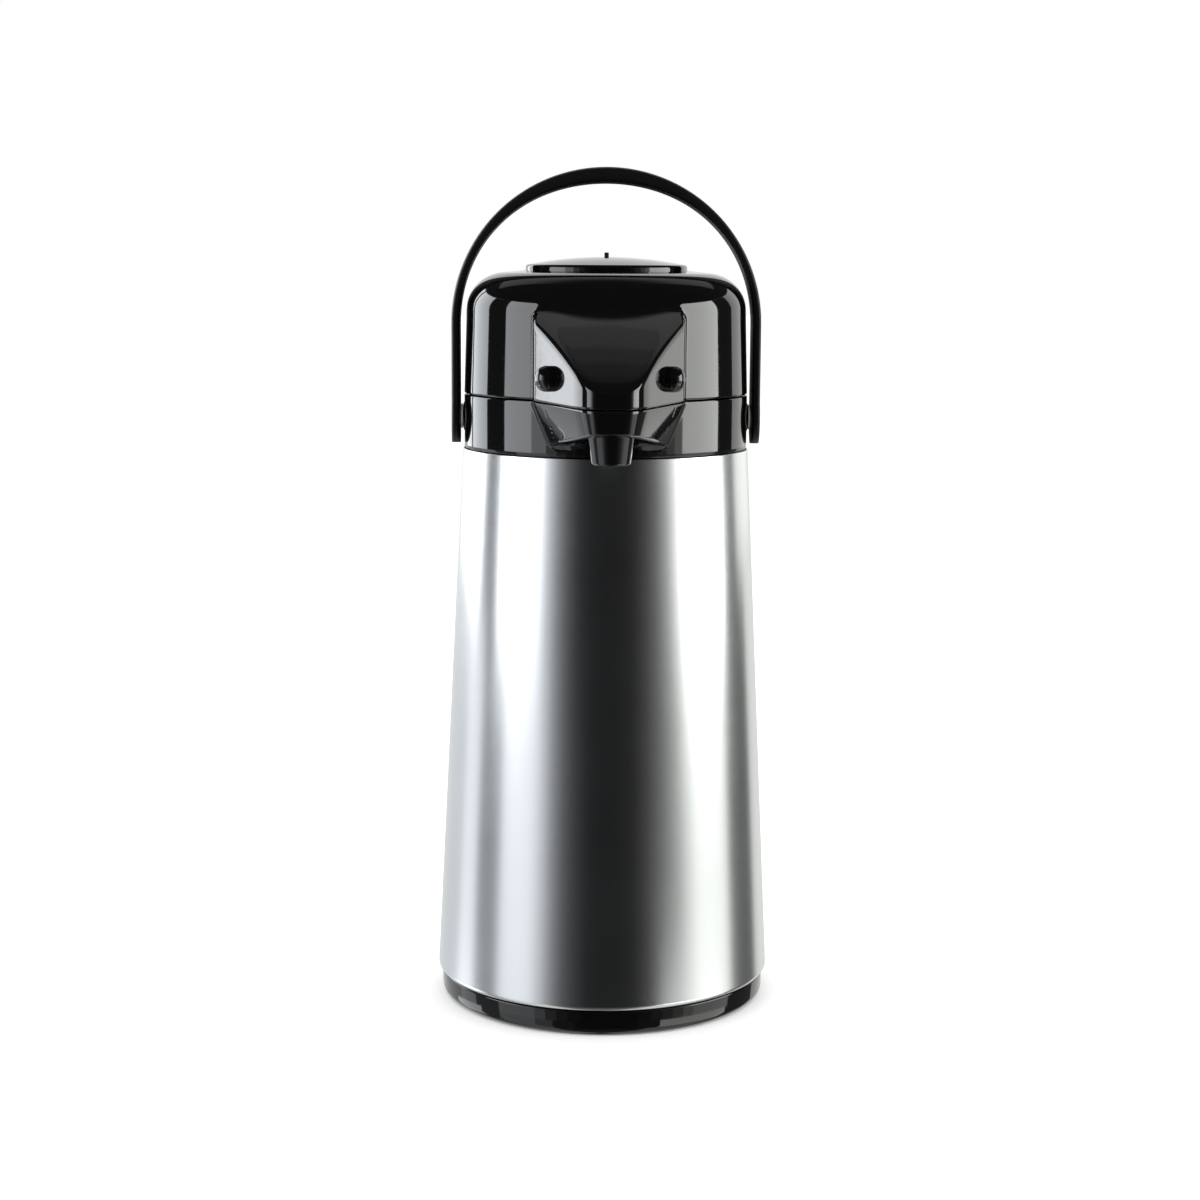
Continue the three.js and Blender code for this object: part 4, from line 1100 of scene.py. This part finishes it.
PLATES = (
    Plate(-130, 130, 0.03),
    Plate(130, 230, 0.03, outer=0.40),
    Plate(130, 230, 0.05, inner=0.40, outer=0.50),
    Plate(130, 230, 0.08, inner=0.50, outer=0.58),
    Plate(130, 230, 0.12, inner=0.58, outer=0.66),
    Plate(130, 230, 0.18, inner=0.66, outer=0.76),
    Plate(130, 230, 0.27, inner=0.76, outer=0.90),
    Plate(130, 230, 0.38, inner=0.90),
    Plate(-152, -108, 0.9, height=BELOW),
    Plate(-108, -88, 0.2, height=BELOW),
    Plate(-88, -38, 1.0, height=BELOW),
    Plate(-38, 32, 0.12, height=BELOW),
    Plate(32, 100, 1.0, height=BELOW),
    Plate(100, 124, 0.2, height=BELOW),
    Plate(124, 170, 0.9, height=BELOW),
    Plate(170, 190, 0.2, height=BELOW),
    Plate(190, 208, 0.9, height=BELOW),
)


@dataclass
class Studio:
    """A pale floor, reflection cards, soft light and the camera.

    The eye and the aim are in millimetres, the other lengths in metres.
    """

    card_radius: float = 1.9
    floor_radius: float = 12.0
    floor_glow: float = 0.24
    middle: tuple[float, float, float] = (0.0, 0.0, 0.2)
    eye: tuple[float, float, float] = (-2.2, -1151.2, 370.5)
    aim: tuple[float, float, float] = (-2.2, 0.0, 197.8)
    orbit: float = -0.021
    lens: float = 70.35
    roll: float = 0.006

    def build(self) -> None:
        """Make the floor, the light and the camera."""
        self._floor()
        self._world()
        for i, wrap in enumerate(WRAPS):
            for k, ((start, glow), (end, _)) in enumerate(zip(wrap.stops, wrap.stops[1:])):
                self._panel(f"card_{i}_{k}", glow, self._card(wrap, start, end), start)
        for i, plate in enumerate(PLATES):
            self._panel(f"plate_{i}", plate.glow, self._plate(plate), 0.0)
        self._lamp("key_light", (-0.9, -1.0, 1.7), 0.9, 5.0)
        self._lamp("fill_light", (1.3, -0.6, 1.5), 1.0, 4.0)
        self._lamp("back_light", (0.0, 1.4, 1.6), 1.2, 4.0)
        self._camera()
        bpy.context.scene.view_settings.view_transform = "Standard"

    def _floor(self) -> None:
        """Make the floor, a wide pale disc."""
        mesh = bmesh.new()
        bmesh.ops.create_circle(mesh, cap_ends=True, segments=96, radius=self.floor_radius)
        data = bpy.data.meshes.new("studio_floor")
        mesh.to_mesh(data)
        mesh.free()
        floor = bpy.data.objects.new("studio_floor", data)
        bpy.context.scene.collection.objects.link(floor)
        paint = bpy.data.materials.new("floor_paint")
        paint.use_nodes = True
        shader = paint.node_tree.nodes["Principled BSDF"]
        shader.inputs["Base Color"].default_value = PALE
        shader.inputs["Roughness"].default_value = 0.9
        shader.inputs["Specular IOR Level"].default_value = 0.1
        shader.inputs["Emission Color"].default_value = WHITE
        shader.inputs["Emission Strength"].default_value = self.floor_glow
        data.materials.append(paint)
        floor.visible_glossy = False

    def _world(self) -> None:
        """Make the surrounding white."""
        world = bpy.data.worlds.new("studio_world")
        world.use_nodes = True
        bpy.context.scene.world = world
        ground = world.node_tree.nodes["Background"]
        ground.inputs["Color"].default_value = WHITE
        ground.inputs["Strength"].default_value = 1.0

    def _card(self, wrap: Wrap, start: float, end: float) -> bmesh.types.BMesh:
        """Bend one upright card of a wrap round the object.

        Args:
            wrap: The ring it belongs to.
            start: Angle of its first edge, in degrees.
            end: Angle of its last edge, in degrees.

        Returns:
            The card.
        """

        def place(across: float, along: float) -> tuple[float, float, float]:
            """The point for shares across and up the card."""
            turn = math.radians(start + (end - start) * across)
            return around(turn, self.card_radius, wrap.bottom + (wrap.top - wrap.bottom) * along)

        return mapped(16, 1, place)

    def _plate(self, plate: Plate) -> bmesh.types.BMesh:
        """Make one flat sector."""

        def place(across: float, along: float) -> tuple[float, float, float]:
            """The point for shares round and outwards."""
            turn = math.radians(plate.start + (plate.end - plate.start) * across)
            reach = plate.inner + (plate.outer - plate.inner) * along
            return around(turn, reach, plate.height)

        return mapped(48, 1, place)

    @staticmethod
    def _panel(name: str, glow: float, mesh: bmesh.types.BMesh, side: float) -> None:
        """Make a panel that only reflections see.

        Args:
            name: The panel's name.
            glow: Its brightness.
            mesh: Its shape in metres; it is freed.
            side: Its angle from the front: cooler light on the left, warmer on the right.
        """
        tint = COOL if side < 0 else WARM
        data = bpy.data.meshes.new(name)
        mesh.to_mesh(data)
        mesh.free()
        made = bpy.data.objects.new(name, data)
        bpy.context.scene.collection.objects.link(made)
        paint = bpy.data.materials.new(f"{name}_glow")
        paint.use_nodes = True
        shader = paint.node_tree.nodes["Principled BSDF"]
        shader.inputs["Base Color"].default_value = BLACK
        shader.inputs["Specular IOR Level"].default_value = 0.0
        shader.inputs["Emission Color"].default_value = tint
        shader.inputs["Emission Strength"].default_value = glow
        data.materials.append(paint)
        made.visible_camera = False
        made.visible_shadow = False
        made.visible_diffuse = False

    def _lamp(
        self, name: str, place: tuple[float, float, float], size: float, power: float
    ) -> None:
        """Make one soft area light that looks at the object.

        Args:
            name: The light's name.
            place: Where it stands, in metres.
            size: Its side, in metres.
            power: Its power in watts.
        """
        data = bpy.data.lights.new(name, "AREA")
        data.size = size
        data.energy = power
        lamp = bpy.data.objects.new(name, data)
        bpy.context.scene.collection.objects.link(lamp)
        lamp.location = place
        look = Vector(self.middle) - lamp.location
        lamp.rotation_euler = look.to_track_quat("-Z", "Y").to_euler()
        lamp.visible_glossy = False

    def _camera(self) -> None:
        """Make the camera in front of the object and a little above it."""
        turn = Matrix.Rotation(self.orbit, 3, "Z")
        eye = turn @ Vector(self.eye) * MM
        aim = turn @ Vector(self.aim) * MM
        ahead = (aim - eye).normalized()
        right = ahead.cross(Vector((0, 0, 1))).normalized()
        up = right.cross(ahead)
        c, s = math.cos(self.roll), math.sin(self.roll)
        across, upward = right * c + up * s, up * c - right * s
        data = bpy.data.cameras.new("camera")
        data.sensor_width = 36.0
        data.lens = self.lens
        data.clip_end = 50.0
        camera = bpy.data.objects.new("camera", data)
        bpy.context.scene.collection.objects.link(camera)
        basis = Matrix((across, upward, -ahead)).transposed().to_4x4()
        camera.matrix_world = Matrix.Translation(eye) @ basis
        bpy.context.scene.camera = camera


def main() -> None:
    """Build the airpot and the studio."""
    logging.basicConfig(level=logging.INFO, format="%(message)s")
    CarriedOver().build()
    for assembly in (Base(), Body(), Collar(), Spout(), Lid(), Button(), Pump(), Release(-1),
                     Release(1), Handle()):
        assembly.build()
    Studio().build()


if __name__ == "__main__":
    main()
